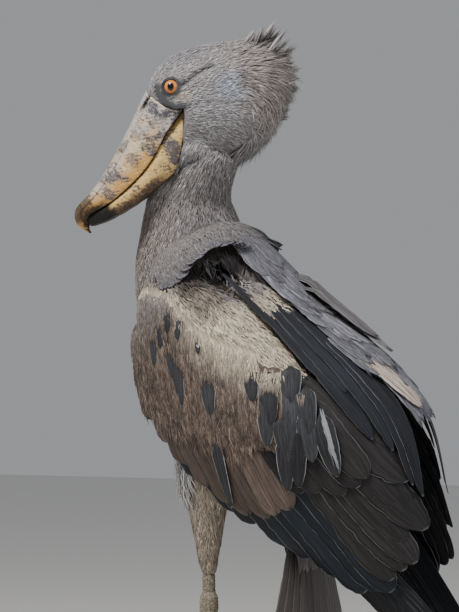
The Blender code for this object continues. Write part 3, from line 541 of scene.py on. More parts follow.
def bumps(points, scale, seed):
    """A smooth random field: a few waves of mixed directions added up, about one in size."""
    rng = np.random.default_rng(seed)
    total = np.zeros(len(points))
    for _ in range(14):
        way = rng.normal(size=3)
        way = way / np.linalg.norm(way) * rng.uniform(0.6, 1.6) * math.tau / scale
        total += np.sin(points @ way + rng.uniform(0, 6.28))
    return total / 14**0.5


BARE_BAND = ((0.0794, 0.046), (0.081, 0.0352), (0.0736, 0.0177), (0.0627, 0.0046), (0.0519, 0.0031))
# Creases of the skin: the line, its width, how deep it goes and where it begins to fade backwards.
EYE_CREASE = ((0.042, 0.035), (0.0199, 0.0436), (0.0034, 0.0476), (-0.0091, 0.048))
JAW_CREASE = ((0.094, -0.092), (0.072, -0.0801), (0.0503, -0.079), (0.0331, -0.0764), (0.0122, -0.0733))
CREASES = ((EYE_CREASE, 0.0034, 0.004, -0.03), (JAW_CREASE, 0.006, 0.007, 0.062))
BROW = ((0.056, 0.057), (0.04, 0.05), (0.02, 0.054), (0.0, 0.058))


def bare_depth(f, g):
    """One on the bare band and round the eye, none where feathers grow."""
    band = ease(0.0076, 0.0056, line_distance(f, g, BARE_BAND))
    ring = ease(0.0166, 0.0148, np.hypot(f - EYE_AT[0], g - EYE_AT[1]))
    return np.maximum(band, ring)


def head_relief(points, normals):
    """The skin's points with the head's folds pushed in and its bare band brought up."""
    f, g, side = in_head(points)
    on_cheek = ease(0.01, 0.022, np.abs(side)) * (points[:, 2] > 0.9)
    depth = bare_depth(f, g) * (COAT_DEPTH["head"] - 0.0006)
    for line, width, deep, fade in CREASES:
        depth = depth - deep * (0.3 + 0.7 * ease(fade - 0.03, fade, f)) * beside(f, g, line, width)
    depth = depth + 0.0016 * beside(f, g, BROW, 0.007)
    return points + normals * (depth * on_cheek)[:, None]


def pocket_relief(points, normals):
    """The skin's points pushed in under the cape's free edge, which opens the dark pocket there."""
    away = points - SLEEVE_ORIGIN
    s = away @ AXIS
    over = away @ RISE - np.interp(s, np.array(SLEEVE)[:, 0], np.array(SLEEVE)[:, 1])
    degrees = np.degrees(np.arctan2(np.abs(points[:, 1]), over))
    deep = ease(0.0, 0.03, s) * ease(0.125, 0.07, s)
    deep = deep * ease(18, 27, degrees) * ease(66, 44, degrees)
    return points - normals * (0.021 * deep * (points[:, 2] < 0.9))[:, None]


for relief in (pocket_relief, head_relief):
    move_points(skin, relief(read_points(skin.data), read_normals(skin.data)))
under_bill = [(mouth[0], mouth[1] - 0.0015) for _, mouth, _ in LOWER_BILL[2:]]
bill_side = [*shifted(FACE_EDGE[:12], -0.0004), *under_bill, (FAR, -0.12), (FAR, 0.3), (0.098, 0.3)]
subtract(skin, prism("face_cutter", bill_side))
print("skin after the cut", len(skin.data.vertices), "points")

# %% [markdown]
# Skin and coat must carry the same markings and painted shade, so one function answers for every
# point of the bird what colour it has there. It starts from the colour of the form and lays soft
# washes over it, each with a place, a reach and a strength. Some washes are painted shade: slate
# lines along the head's creases, and darker brown to near black towards the pocket under the cape's
# free edge. Head washes use the head's axes and wing washes the chart of the wing, so they stay put
# on the shape and mirror to the other side.

# %% Colours, markings and painted shade
ASH = (0.345, 0.328, 0.335)
WARM = (0.42, 0.34, 0.28)
MIST = (0.345, 0.372, 0.425)
SMOKE = (0.235, 0.216, 0.214)
TAUPE = (0.24, 0.175, 0.135)
LILAC = (0.122, 0.125, 0.152)
SLATE = (0.05, 0.055, 0.068)
CREAM = (0.58, 0.5, 0.39)
BROWN = (0.13, 0.094, 0.076)
TAN = (0.3, 0.232, 0.185)
NIGHT = (0.01, 0.011, 0.014)
UMBER = (0.05, 0.042, 0.04)
BUFF = (0.4, 0.34, 0.27)
# Near black brown: painted shade in the pocket under the cape's free edge, and the own colour of a few dark
# crest feathers.
POCKET_SHADE_AND_DARK_LOCKS = (0.022, 0.017, 0.015)
PALE = (0.33, 0.32, 0.31)
BASE = {"torso": PALE, "thigh": BUFF, "wing": BROWN, "mantle": LILAC}
HEAD_WASHES = (
    ((-0.08, 0.01), (0.045, 0.06), WARM, 0.7), ((-0.07, 0.075), (0.05, 0.03), SMOKE, 0.6),
    ((0.03, 0.085), (0.055, 0.022), LILAC, 0.45), ((-0.029, 0.01), (0.026, 0.024), MIST, 1.0),
    ((0.005, -0.005), (0.045, 0.03), MIST, 0.15), ((0.048, 0.02), (0.011, 0.01), CREAM, 0.55),
    ((-0.047, 0.012), (0.01, 0.016), TAUPE, 0.7), ((0.02, -0.085), (0.07, 0.022), SMOKE, 0.55),
)
CREAM_EDGE = (
    (0.0, 0.078), (0.06, 0.083), (0.125, 0.072), (0.187, 0.088), (0.237, 0.108), (0.29, 0.137),
    (0.4, 0.2),
)


def on_wing(points):
    """Distance along the sleeve and height over its axis."""
    away = points - SLEEVE_ORIGIN
    return away @ AXIS, away @ RISE


def cream_edge(along):
    """The height on a wing where its brown coverts end and the cream down begins."""
    return np.interp(along, *np.array(CREAM_EDGE).T)


def plain(colour, points):
    """One colour for every point."""
    return np.tile(colour, (len(points), 1))


def wash(colours, colour, weight):
    return colours + (np.array(colour) - colours) * np.asarray(np.clip(weight, 0, 1))[..., None]


def washes(colours, *layers):
    """Washes laid one over another, each a colour and its weight at every point."""
    for colour, weight in layers:
        colours = wash(colours, colour, weight)
    return colours


def head_markings_and_shade(points, f, g):
    """Soft washes of the head and neck, with painted shade along the creases and the dark bare skin."""
    x, _, z = points.T
    colours = wash(plain(ASH, points), SMOKE, ease(-0.045, -0.125, g + 0.25 * f))
    for (at_f, at_g), (reach_f, reach_g), colour, strength in HEAD_WASHES:
        fall = ((f - at_f) / reach_f) ** 2 + ((g - at_g) / reach_g) ** 2
        colours = wash(colours, colour, strength * np.exp(-fall * fall))
    # Painted shade along the skin's creases: slate lines, strongest ahead and fading backwards.
    for line, width, _, fade in CREASES:
        strength = 0.22 + 0.7 * ease(fade - 0.03, fade, f)
        colours = wash(colours, SLATE, strength * beside(f, g, line, 0.8 * width))
    return washes(
        colours,
        (SLATE, 0.92 * bare_depth(f, g) * (z > 0.9)),
        (TAUPE, 0.35 * ease(0.93, 0.86, z) * ease(-0.03, -0.1, x)),
        (LILAC, 0.6 * ease(0.9, 0.84, z) * ease(-0.06, 0.0, x)),
    )


def markings_and_shade(points, kind):
    """The colour of skin and coat at points of one form, painted shade included, before any feather varies
    it.
    """
    if kind in ("head", "neck"):
        return head_markings_and_shade(points, *in_head(points)[:2])
    x, y, z = points.T
    s, t = on_wing(points)
    colours = plain(BASE[kind], points)
    if kind == "torso":
        spots = bumps(points * (1, 1, 0.4), 0.012, 32)
        return washes(
            colours,
            (SMOKE, ease(0.52, 0.78, z)),
            (TAUPE, 0.35 * ease(0.66, 0.8, z) * ease(-0.03, -0.1, x)),
            (UMBER, 0.35 * ease(0.4, 1.4, spots)),
        )
    if kind == "thigh":
        spots = bumps(points * (1, 1, 0.6), 0.01, 31)
        return washes(
            colours,
            (TAUPE, 0.45 * ease(0.42, 0.33, z)),
            (UMBER, 0.55 * ease(0.3, 1.3, spots)),
        )
    if kind == "mantle":
        return washes(
            colours,
            (CREAM, 0.9 * ease(0.04, 0.055, np.abs(y))),
            # Painted shade: darker brown towards the cape's free edge and near black in the pocket under it.
            ((0.12, 0.1, 0.088), 0.9 * ease(0.13, 0.095, s)),
            (POCKET_SHADE_AND_DARK_LOCKS, 0.85 * ease(0.075, 0.045, s)),
        )
    # Painted shade on the wing's upper part under the cape: darker brown towards the cape's free edge and
    # near black in the pocket under it.
    under = ease(0.082, 0.1, t)
    return washes(
        colours,
        (CREAM, ease(-0.036, -0.006, t - cream_edge(s))),
        (SMOKE, 0.75 * ease(0.055, 0.015, s)),
        ((0.15, 0.125, 0.11), 0.85 * ease(0.115, 0.08, s) * under),
        (POCKET_SHADE_AND_DARK_LOCKS, 0.8 * ease(0.066, 0.04, s) * under),
        (NIGHT, ease(0.3, 0.4, s + 0.4 * (0.03 - t))),
    )


# %% [markdown]
# Thousands of tufts can't each be an object, and particle hair doesn't survive an export. So a
# tuft is a tiny lance of seven points, and arrays copy it along every path at once. Each carries
# two UV maps: Vane runs across and along the tuft for its pattern, and OFBake holds a small patch
# at the place of its root on the skin's own unwrap, which a baked picture can use.

# %% Meshes from arrays
PATCH = 0.003


def paint(mesh, tone):
    """Stores a colour for every point of a mesh."""
    layer = mesh.color_attributes.new("Tone", "FLOAT_COLOR", "POINT")
    colours = np.column_stack((tone, np.ones(len(tone))))
    layer.data.foreach_set("color", colours.astype(np.float32).ravel())


def mesh_from(name, points, faces, vane, patch, tone, edge, shading=None):
    """One object from arrays of points, polygons of like size, two UV maps, colours and rims."""
    mesh = bpy.data.meshes.new(name)
    mesh.vertices.add(len(points))
    mesh.vertices.foreach_set("co", np.ascontiguousarray(points + SHIFT, dtype=np.float32).ravel())
    size = faces.shape[1]
    mesh.loops.add(faces.size)
    mesh.loops.foreach_set("vertex_index", faces.ravel().astype(np.int32))
    mesh.polygons.add(len(faces))
    mesh.polygons.foreach_set("loop_start", np.arange(0, faces.size, size, dtype=np.int32))
    mesh.update(calc_edges=True)
    for title, uv in (("Vane", vane), ("OFBake", patch)):
        layer = mesh.uv_layers.new(name=title)
        layer.data.foreach_set("uv", uv[faces.ravel()].astype(np.float32).ravel())
    paint(mesh, tone)
    rim = mesh.attributes.new("Rim", "FLOAT", "POINT")
    rim.data.foreach_set("value", edge.astype(np.float32))
    mesh.shade_smooth()
    if shading is not None:
        own = read_normals(mesh)
        mesh.normals_split_custom_set_from_vertices(unit(shading * 0.65 + own * 0.35).tolist())
    return linked(name, mesh)


LANCE = ((0.0, 0.7, 0.25), (0.45, 1.0, 0.34))
LANCE_FACES = (
    *((0, 1, 4), (0, 4, 3), (1, 2, 5), (1, 5, 4), (2, 0, 3), (2, 3, 5)),
    *((3, 4, 6), (4, 5, 6), (5, 3, 6), (2, 1, 0)),
)


def lances(name, paths, normals, width, tone, roots_uv, ridge=0.6):
    """Tufts along paths of three points each, as three-sided lances with a ridge on top."""
    count = len(paths)
    start, middle, tip = paths[:, 0], paths[:, 1], paths[:, 2]
    across = unit(np.cross(tip - start, normals))
    points = np.empty((count, 7, 3))
    uv = np.empty((7, 2))
    for ring, (share, wide, high) in enumerate(LANCE):
        centre = start if ring == 0 else middle
        half = across * (width * wide * 0.5)[:, None]
        points[:, ring * 3] = centre - half
        points[:, ring * 3 + 1] = centre + normals * (width * high * ridge)[:, None]
        points[:, ring * 3 + 2] = centre + half
        uv[ring * 3 : ring * 3 + 3] = ((0.0, share), (0.5, share), (1.0, share))
    points[:, 6] = tip
    uv[6] = (0.5, 1.0)
    faces = (np.arange(count)[:, None, None] * 7 + np.array(LANCE_FACES)).reshape(-1, 3)
    patch = roots_uv[:, None, :] + (uv - 0.5) * PATCH
    tone, shading = np.repeat(tone, 7, axis=0), np.repeat(normals, 7, axis=0)
    points, patch, uv = points.reshape(-1, 3), patch.reshape(-1, 2), np.tile(uv, (count, 1))
    return mesh_from(name, points, faces, uv, patch, tone, np.zeros(count * 7), shading)


# %% [markdown]
# The skin gets its unwrap from Blender's own Smart UV Project. Each of its triangles then knows
# which form it belongs to, found by asking every form's search tree for the nearest surface.

# %% The skin's unwrap and its regions
bpy.context.view_layer.objects.active = skin
skin.select_set(True)
skin.data.uv_layers.new(name="OFBake")
bpy.ops.object.mode_set(mode="EDIT")
bpy.ops.mesh.select_all(action="SELECT")
bpy.ops.uv.smart_project(angle_limit=math.radians(66), island_margin=0.002)
bpy.ops.object.mode_set(mode="OBJECT")
skin.select_set(False)

skin_points, skin_normals = read_points(skin.data), read_normals(skin.data)
skin.data.calc_loop_triangles()
triangles = read(skin.data.loop_triangles, "vertices", 3, int)
corners = read(skin.data.loop_triangles, "loops", 3, int)
skin_uv = read(skin.data.uv_layers["OFBake"].data, "uv", 2)
skin_tree = BVHTree.FromPolygons([tuple(p) for p in skin_points], [tuple(t) for t in triangles.tolist()])


def nearest_form(point):
    found = [(trees[name].find_nearest(point)[3], i) for i, name in enumerate(FORMS)]
    return min(found)[1]


def by_form(points, forms, answer):
    """What a function of points and their kind of form answers, for points of several forms."""
    rows = np.zeros((len(points), 3))
    for index, kind in enumerate(KINDS):
        chosen = forms == index
        rows[chosen] = answer(points[chosen], kind)
    return rows


triangle_middles = skin_points[triangles].mean(axis=1)
point_form = np.array([nearest_form(point) for point in skin_points.tolist()])
triangle_form = point_form[triangles[:, 0]]
skin_tone = by_form(skin_points, point_form, markings_and_shade)
print("skin faces", len(triangles), "largest patch", np.round(np.ptp(skin_uv, axis=0), 2))

# %% [markdown]
# Small feathers are scattered over the skin by area, and each finds its way along the lie of the
# coat: backwards over the head, down the neck, breast and legs, and along the wings. Halfway and
# at its tip a tuft asks for the nearest skin, so it bends round the body and never sinks in.

# %% The lie of the coat


def spine_down(points):
    """The direction down the body's spine at the height of each point."""
    rows = np.array(BODY)
    k = np.interp(points[:, 2], rows[:, 1], np.arange(len(rows)))
    step = track(BODY, k - 0.1) - track(BODY, k + 0.1)
    return unit(np.column_stack((step[:, 0], np.zeros(len(points)), step[:, 1])))


def lie(points, kind):
    """Which way the feathers of one form point."""
    if kind == "head":
        f, g, _ = in_head(points)
        back = -AHEAD + CROWN * (0.16 * np.clip(g / 0.08, -1, 1) - 0.1)[:, None]
        low = ease(-0.005, -0.075, g + 0.15 * f)[:, None]
        nape = ease(-0.06, -0.105, f)[:, None] * ease(0.05, -0.03, g)[:, None]
        down = -CROWN * 0.9 - AHEAD * 0.45
        return unit(back * (1 - low) * (1 - nape) + down * np.maximum(low, nape))
    if kind == "thigh":
        return np.tile(unit(np.array((0.1, 0.0, -1.0))), (len(points), 1))
    if kind == "wing":
        s, t = on_wing(points)
        front = ease(0.1, 0.02, t)[:, None]
        return unit(AXIS * (1 - 0.35 * front) - RISE * (0.12 + 0.55 * front))
    if kind == "mantle":
        return np.tile(AXIS, (len(points), 1))
    return spine_down(points)


def scatter(kinds, density, seed, keep=None):
    """Roots spread by area over the named forms, with normals, unwrap places and form names."""
    rng = np.random.default_rng(seed)
    corners_of = skin_points[triangles]
    first, second = corners_of[:, 1] - corners_of[:, 0], corners_of[:, 2] - corners_of[:, 0]
    named = [i for i, kind in enumerate(KINDS) if kind in kinds]
    weight = np.linalg.norm(np.cross(first, second), axis=1) / 2 * np.isin(triangle_form, named)
    if keep is not None:
        weight = weight * keep(triangle_middles)
    count = int(weight.sum() * density)
    picked = rng.choice(len(weight), count, p=weight / weight.sum())
    a, b = rng.random((2, count))
    turn = a + b > 1
    a, b = np.where(turn, 1 - a, a), np.where(turn, 1 - b, b)
    share = np.column_stack((1 - a - b, a, b))[:, :, None]
    roots = (corners_of[picked] * share).sum(axis=1)
    normals = unit((skin_normals[triangles[picked]] * share).sum(axis=1))
    uv = (skin_uv[corners[picked]] * share).sum(axis=1)
    return roots, normals, uv, triangle_form[picked], rng


def over_skin(points, lift):
    """The points moved onto the skin and out from it by lift."""
    moved = np.empty_like(points)
    for i, point in enumerate(points.tolist()):
        place, normal, _, _ = skin_tree.find_nearest(point)
        moved[i] = place + normal * lift[i]
    return moved


ROOT_DEPTH = 0.0008


def laid(ways, normals, share=1.0):
    """The ways turned level with the surface, wholly or by a share."""
    return unit(ways - normals * (share * (ways * normals).sum(axis=1))[:, None])


def combed(roots, normals, ways, length, lift, tip_lift, wander, rng, bridge):
    """Paths of three points for tufts of that length, laid over the skin along their ways."""
    across = unit(np.cross(normals, ways))
    ways = unit(ways + across * rng.normal(0, wander, len(roots))[:, None])
    ways = laid(ways, normals)
    middle = over_skin(roots + ways * (length * 0.5)[:, None], lift)
    tip = over_skin(roots + ways * length[:, None], tip_lift)
    if bridge:
        chord = (roots + tip) / 2
        middle = np.where((((chord - middle) * normals).sum(axis=1) > 0)[:, None], chord, middle)
    return np.stack((roots - normals * ROOT_DEPTH, middle, tip), axis=1)


coat = {}


def plumage(name, kinds, density, size, lift, wander, vary, seed, keep=None, own_tone=None, bridge=False):
    """One piece of the coat: tufts of a size, length by width, on the named forms."""
    roots, normals, uv, forms, rng = scatter(kinds, density, seed, keep)
    tone = by_form(roots, forms, markings_and_shade) if own_tone is None else plain(own_tone, roots)
    ways = by_form(roots, forms, lie)
    clump = bumps(roots, size[0] * 0.7, seed)
    ways = unit(ways + np.cross(normals, ways) * (0.13 * clump)[:, None])
    tone = tone * np.exp(0.5 * vary * bumps(roots, size[0] * 0.45, seed + 50))[:, None]
    length = size[0] * rng.uniform(0.7, 1.25, len(roots))
    width = size[1] * rng.uniform(0.7, 1.3, len(roots))
    high = lift * rng.uniform(0.4, 1.3, len(roots))
    tip_high = high * rng.uniform(0.3, 1.5, len(roots))
    paths = combed(roots, normals, ways, length, high, tip_high, wander, rng, bridge)
    tone = tone * rng.lognormal(0.0, vary, len(roots))[:, None]
    coat[name] = lances(name, paths, normals, width, np.clip(tone, 0.005, 0.9), uv)
    print(name, len(roots), "tufts")


# %% [markdown]
# A flight feather is a vane: two webs of barbs on a shaft, hollow below and rounded above. Each
# vane here is a closed shell, a grid of points laid out on a chart and thickened, so it bends with
# the wing. Barbs let go of each other as a feather wears, so the web's edge and tip are frayed.

# %% Vanes from a grid


def vane_faces(rows, columns):
    """Four-sided faces of a closed shell between an upper and a lower grid of points."""
    grid = np.arange(rows * columns).reshape(rows, columns)
    low = grid + rows * columns
    a, b, c, d = grid[:-1, :-1], grid[:-1, 1:], grid[1:, 1:], grid[1:, :-1]
    top = np.stack((a, b, c, d), axis=-1).reshape(-1, 4)
    under = top[:, ::-1] + rows * columns
    round_grid = np.concatenate((grid[0], grid[1:, -1], grid[-1, -2::-1], grid[-2:0:-1, 0]))
    round_low = np.concatenate((low[0], low[1:, -1], low[-1, -2::-1], low[-2:0:-1, 0]))
    ahead, ahead_low = np.roll(round_grid, -1), np.roll(round_low, -1)
    wall = np.stack((ahead, round_grid, round_low, ahead_low), axis=-1)
    return np.concatenate((top, under, wall))


VANE_THICK = 0.0005
VANE_RIPPLE = 0.00012


def vanes(name, place, root, tip, width, level, tone, rows=12, half=3, point=0.35, fray=0.0, seed=1,
          quill=0.45, wear=0.1, dive=-0.008, lift=0.0, roll=0.0, camber=0.0006, shaft=0.0001, flip=False,
          vary=0.12, tip_tone=None, tip_mix=0.6, rim=0.0):
    """A tier of vanes on a chart. Roots and tips are chart places, level their reach outwards."""
    rng = np.random.default_rng(seed)
    root, tip = np.asarray(root, float), np.asarray(tip, float)
    count, columns = len(root), 2 * half + 1
    width, level, lift = (np.broadcast_to(v, count)[:, None, None] for v in (width, level, lift))
    tone = np.broadcast_to(tone, (count, 3))
    at = np.linspace(-1, 1, columns)[None, None, :]
    share = (1 - (1 - np.linspace(0, 1, rows)) ** 1.45)[None, :, None]
    long = share * (1 - fray * rng.random((count, 1, columns)) * ease(0.45, 1.0, share))
    base = np.minimum(1.0, quill + (1 - quill) * share / 0.22)
    tail = np.clip((share - (1 - point)) / point, 0, 1)
    half_width = 0.5 * width * base * np.maximum(np.sqrt(1 - tail**2), 0.1)
    worn = 1 - wear * rng.random((count, rows, 2)) ** 2
    half_width = half_width * np.where(at < 0, worn[:, :, :1], np.where(at > 0, worn[:, :, 1:], 1.0))
    along = (tip - root)[:, None, None, :]
    across = unit(np.stack((-along[..., 1], along[..., 0]), axis=-1))
    flat = root[:, None, None, :] + along * long[..., None] + across * (half_width * at)[..., None]
    dive = level + dive
    high = dive + (level - dive) * np.minimum(1.0, share / 0.2) + lift * share * share
    high = high - roll * half_width * at + camber * (1 - at * at)
    wave = rng.standard_normal((count, rows, columns))
    wave[:, 1:-1] = (wave[:, :-2] + 2 * wave[:, 1:-1] + wave[:, 2:]) / 3
    high = high + VANE_RIPPLE * wave + np.where(at == 0, shaft, 0.0)
    low = high - VANE_THICK * (1 + 0.5 * (at == 0))
    grids = [
        place(flat[..., 0].ravel(), flat[..., 1].ravel(), np.broadcast_to(out, flat.shape[:-1]).ravel())
        for out in (high, low)
    ]
    points = np.stack([grid.reshape(count, -1, 3) for grid in grids], axis=1).reshape(-1, 3)
    each = rows * columns * 2
    faces = (np.arange(count)[:, None, None] * each + vane_faces(rows, columns)).reshape(-1, 4)
    if flip:
        faces = faces[:, ::-1]
    uv = np.stack(np.broadcast_arrays(at[0] * 0.5 + 0.5, share[0]), axis=-1).reshape(-1, 2)
    uv = np.tile(np.concatenate((uv, uv)), (count, 1))
    cells = math.ceil(math.sqrt(count))
    cell = np.stack((np.arange(count) % cells, np.arange(count) // cells), axis=-1)
    patch = (np.repeat(cell, each, axis=0) + 0.06 + 0.88 * uv) / cells
    varied = rng.lognormal(0, vary, count)[:, None]
    tint = np.repeat(tone, each, axis=0)
    if tip_tone is not None:
        tint = wash(tint, tip_tone, ease(0.35, 1.0, uv[:, 1]) * tip_mix)
    tint = tint * np.repeat(varied, each, axis=0)
    rim = np.repeat(rim * rng.uniform(0.5, 1.2, count), each)
    obj = mesh_from(name, points, faces, uv, patch, np.clip(tint, 0.004, 0.9), rim)
    print(name, count, "vanes")
    return obj


def tier(rows, count, seed, jitter):
    """Evenly spaced feathers read from a few guide feathers: root, tip and level of each."""
    rng = np.random.default_rng(seed)
    rows = [(*root, *tip, level) for root, tip, level in rows]
    found = track(rows, np.linspace(0, len(rows) - 1, count))
    found[:, 2:4] += rng.normal(0, jitter, (count, 2)) * (1.0, 0.5)
    return found[:, :2], found[:, 2:4], found[:, 4]


def on_skin_map(points):
    """Places on the skin's unwrap of the skin nearest to each point."""
    found = [skin_tree.find_nearest(point)[2] for point in points.tolist()]
    return skin_uv[corners[found]].mean(axis=1)


def tree_of(parts):
    """A search tree of several finished pieces."""
    bm = bmesh.new()
    for part in parts:
        bm.from_mesh(part.data)
    tree = BVHTree.FromBMesh(bm)
    bm.free()
    return tree


def cover(tree, place, flat, top=0.03, deep=0.06):
    """How far out the outermost surface lies at places of a chart, or -1 where there is none."""
    start = place(flat[:, 0], flat[:, 1], np.full(len(flat), top)) + SHIFT
    end = place(flat[:, 0], flat[:, 1], np.full(len(flat), top - 0.01)) + SHIFT
    reach = np.full(len(flat), -1.0)
    for i, (point, way) in enumerate(zip(start.tolist(), unit(end - start).tolist())):
        away = tree.ray_cast(point, way, deep)[3]
        if away is not None:
            reach[i] = top - away
    return reach


def strands(name, place, tree, roots, ways, size, tone, seed, wander=0.12, loose=0.0012, clear=None):
    """Fine loose feathers laid over other feathers on a chart, each bent over what is below it."""
    rng = np.random.default_rng(seed)
    ways = unit(ways + rng.normal(0, wander, (len(roots), 2)))
    length = size[0] * rng.uniform(0.65, 1.25, len(roots))
    flat = [roots + ways * (length * share)[:, None] for share in (0.0, 0.5, 1.0)]
    reach = [cover(tree, place, line) for line in flat]
    kept = (reach[0] > -0.9) & (reach[1] > -0.9)
    if clear is not None:
        kept &= (cover(clear, place, flat[2]) < 0) & (cover(clear, place, flat[1]) < 0)
    reach[2] = np.where(reach[2] > -0.9, reach[2], reach[1])
    loose = rng.uniform(0.2, 1.0, len(roots)) * loose
    lifts = (-0.0006, 0.2 * loose + 0.0002, loose)
    paths = [place(*line.T, out + lift) for line, out, lift in zip(flat, reach, lifts)]
    paths = np.stack(paths, axis=1)[kept]
    foot, over = (place(*roots.T, reach[0] + out) for out in (0.0, 0.01))
    outward = unit(over - foot)[kept]
    width = (size[1] * rng.uniform(0.7, 1.3, len(roots)))[kept]
    tone = tone[kept] * rng.lognormal(0, 0.2, (kept.sum(), 1))
    print(name, int(kept.sum()), "strands")
    return lances(name, paths, outward, width, np.clip(tone, 0.004, 0.9), on_skin_map(paths[:, 0]), 0.35)


def spread_over(corners_low, corners_high, count, seed):
    """Even random places in a rectangle of a chart."""
    return np.random.default_rng(seed).uniform(corners_low, corners_high, (count, 2))


# %% [markdown]
# The wing feathers come in tiers, as on the real bird: primaries lowest, then secondaries and the
# long tertials, greater coverts over their roots, then median and lesser coverts up to the
# shoulder. The lower tiers go down first and every tier above reaches a little further out.

# %% Wing tiers, each a few guide feathers: root, tip, reach
PRIMARIES = (
    ((0.3, 0.028), (0.742, 0.007), -0.015), ((0.3, 0.013), (0.718, -0.008), -0.0133),
    ((0.298, -0.002), (0.68, -0.02), -0.0116), ((0.288, -0.016), (0.632, -0.032), -0.0099),
)
SECONDARIES = (
    ((0.12, -0.038), (0.272, -0.086), -0.005), ((0.158, -0.032), (0.35, -0.084), -0.005),
    ((0.195, -0.022), (0.424, -0.07), -0.005), ((0.232, -0.008), (0.482, -0.056), -0.005),
    ((0.265, 0.008), (0.536, -0.042), -0.005), ((0.292, 0.028), (0.584, -0.024), -0.005),
    ((0.312, 0.052), (0.612, 0.0), -0.005),
)
TERTIALS = (
    ((0.302, 0.07), (0.592, 0.026), -0.003), ((0.292, 0.092), (0.585, 0.052), -0.003),
    ((0.27, 0.112), (0.56, 0.08), -0.0032), ((0.258, 0.13), (0.545, 0.104), -0.0035),
    ((0.275, 0.146), (0.5, 0.13), -0.0038),
)
GREATER = (
    ((0.062, -0.014), (0.166, -0.07), 0.003), ((0.106, -0.022), (0.236, -0.082), 0.003),
    ((0.146, -0.016), (0.3, -0.086), 0.003), ((0.184, 0.004), (0.35, -0.074), 0.003),
    ((0.22, 0.028), (0.392, -0.05), 0.0028), ((0.252, 0.05), (0.408, -0.016), 0.0026),
)
GREATER_DARK = (
    ((0.24, 0.06), (0.4, 0.02), 0.0024), ((0.272, 0.084), (0.436, 0.048), 0.0022),
    ((0.292, 0.106), (0.452, 0.078), 0.002), ((0.3, 0.126), (0.452, 0.104), 0.0018),
)
MEDIAN = (
    ((0.03, 0.012), (0.104, -0.038), 0.0072), ((0.074, 0.008), (0.16, -0.044), 0.0076),
    ((0.116, 0.018), (0.216, -0.04), 0.0076), ((0.154, 0.04), (0.262, -0.024), 0.0072),
    ((0.192, 0.064), (0.3, 0.004), 0.0068), ((0.228, 0.09), (0.338, 0.04), 0.0062),
    ((0.252, 0.112), (0.352, 0.07), 0.0056),
)
LESSER = (
    ((0.014, 0.04), (0.072, 0.0), 0.0084), ((0.052, 0.044), (0.112, -0.004), 0.0086),
    ((0.09, 0.046), (0.154, 0.0), 0.0086), ((0.128, 0.058), (0.2, 0.012), 0.0084),
    ((0.168, 0.078), (0.24, 0.036), 0.008), ((0.206, 0.1), (0.276, 0.064), 0.0074),
    ((0.24, 0.124), (0.306, 0.094), 0.0066),
)
SHOULDER = (
    ((-0.006, 0.052), (0.04, 0.026), 0.0078), ((0.024, 0.074), (0.07, 0.036), 0.0084),
    ((0.06, 0.076), (0.112, 0.036), 0.0088), ((0.1, 0.078), (0.156, 0.044), 0.0088),
    ((0.144, 0.092), (0.2, 0.064), 0.0084), ((0.186, 0.112), (0.24, 0.088), 0.0078),
)
# Slate coverts that show singly among the brown ones: root, tip, width.
SLATES = (
    ((0.062, 0.028), (0.102, -0.006), 0.015), ((0.092, 0.034), (0.14, 0.004), 0.012),
    ((0.116, 0.04), (0.18, -0.014), 0.017), ((0.106, 0.036), (0.162, -0.006), 0.013),
    ((0.166, 0.058), (0.226, 0.01), 0.026), ((0.222, 0.098), (0.259, 0.072), 0.023),
    ((0.246, 0.11), (0.303, 0.066), 0.03), ((0.258, 0.136), (0.301, 0.108), 0.03),
    ((0.292, 0.11), (0.35, 0.061), 0.024), ((0.298, 0.132), (0.354, 0.094), 0.028),
    ((0.306, 0.084), (0.36, 0.046), 0.03), ((0.336, 0.088), (0.396, 0.028), 0.028),
    ((0.268, 0.088), (0.322, 0.04), 0.026), ((0.28, 0.122), (0.328, 0.084), 0.026),
    ((0.322, 0.112), (0.385, 0.07), 0.028), ((0.33, 0.066), (0.388, 0.012), 0.026),
    ((0.345, 0.122), (0.425, 0.078), 0.03), ((0.215, 0.015), (0.335, -0.074), 0.02),
    ((0.06, 0.062), (0.084, 0.044), 0.014), ((0.082, 0.068), (0.104, 0.05), 0.014),
    ((0.068, 0.04), (0.092, 0.02), 0.012), ((0.13, 0.07), (0.146, 0.06), 0.01),
)
WARM_TIP = (0.084, 0.062, 0.052)
SHORT = {"roll": 0.1, "dive": -0.006, "fray": 0.25, "wear": 0.25, "tip_tone": WARM_TIP}


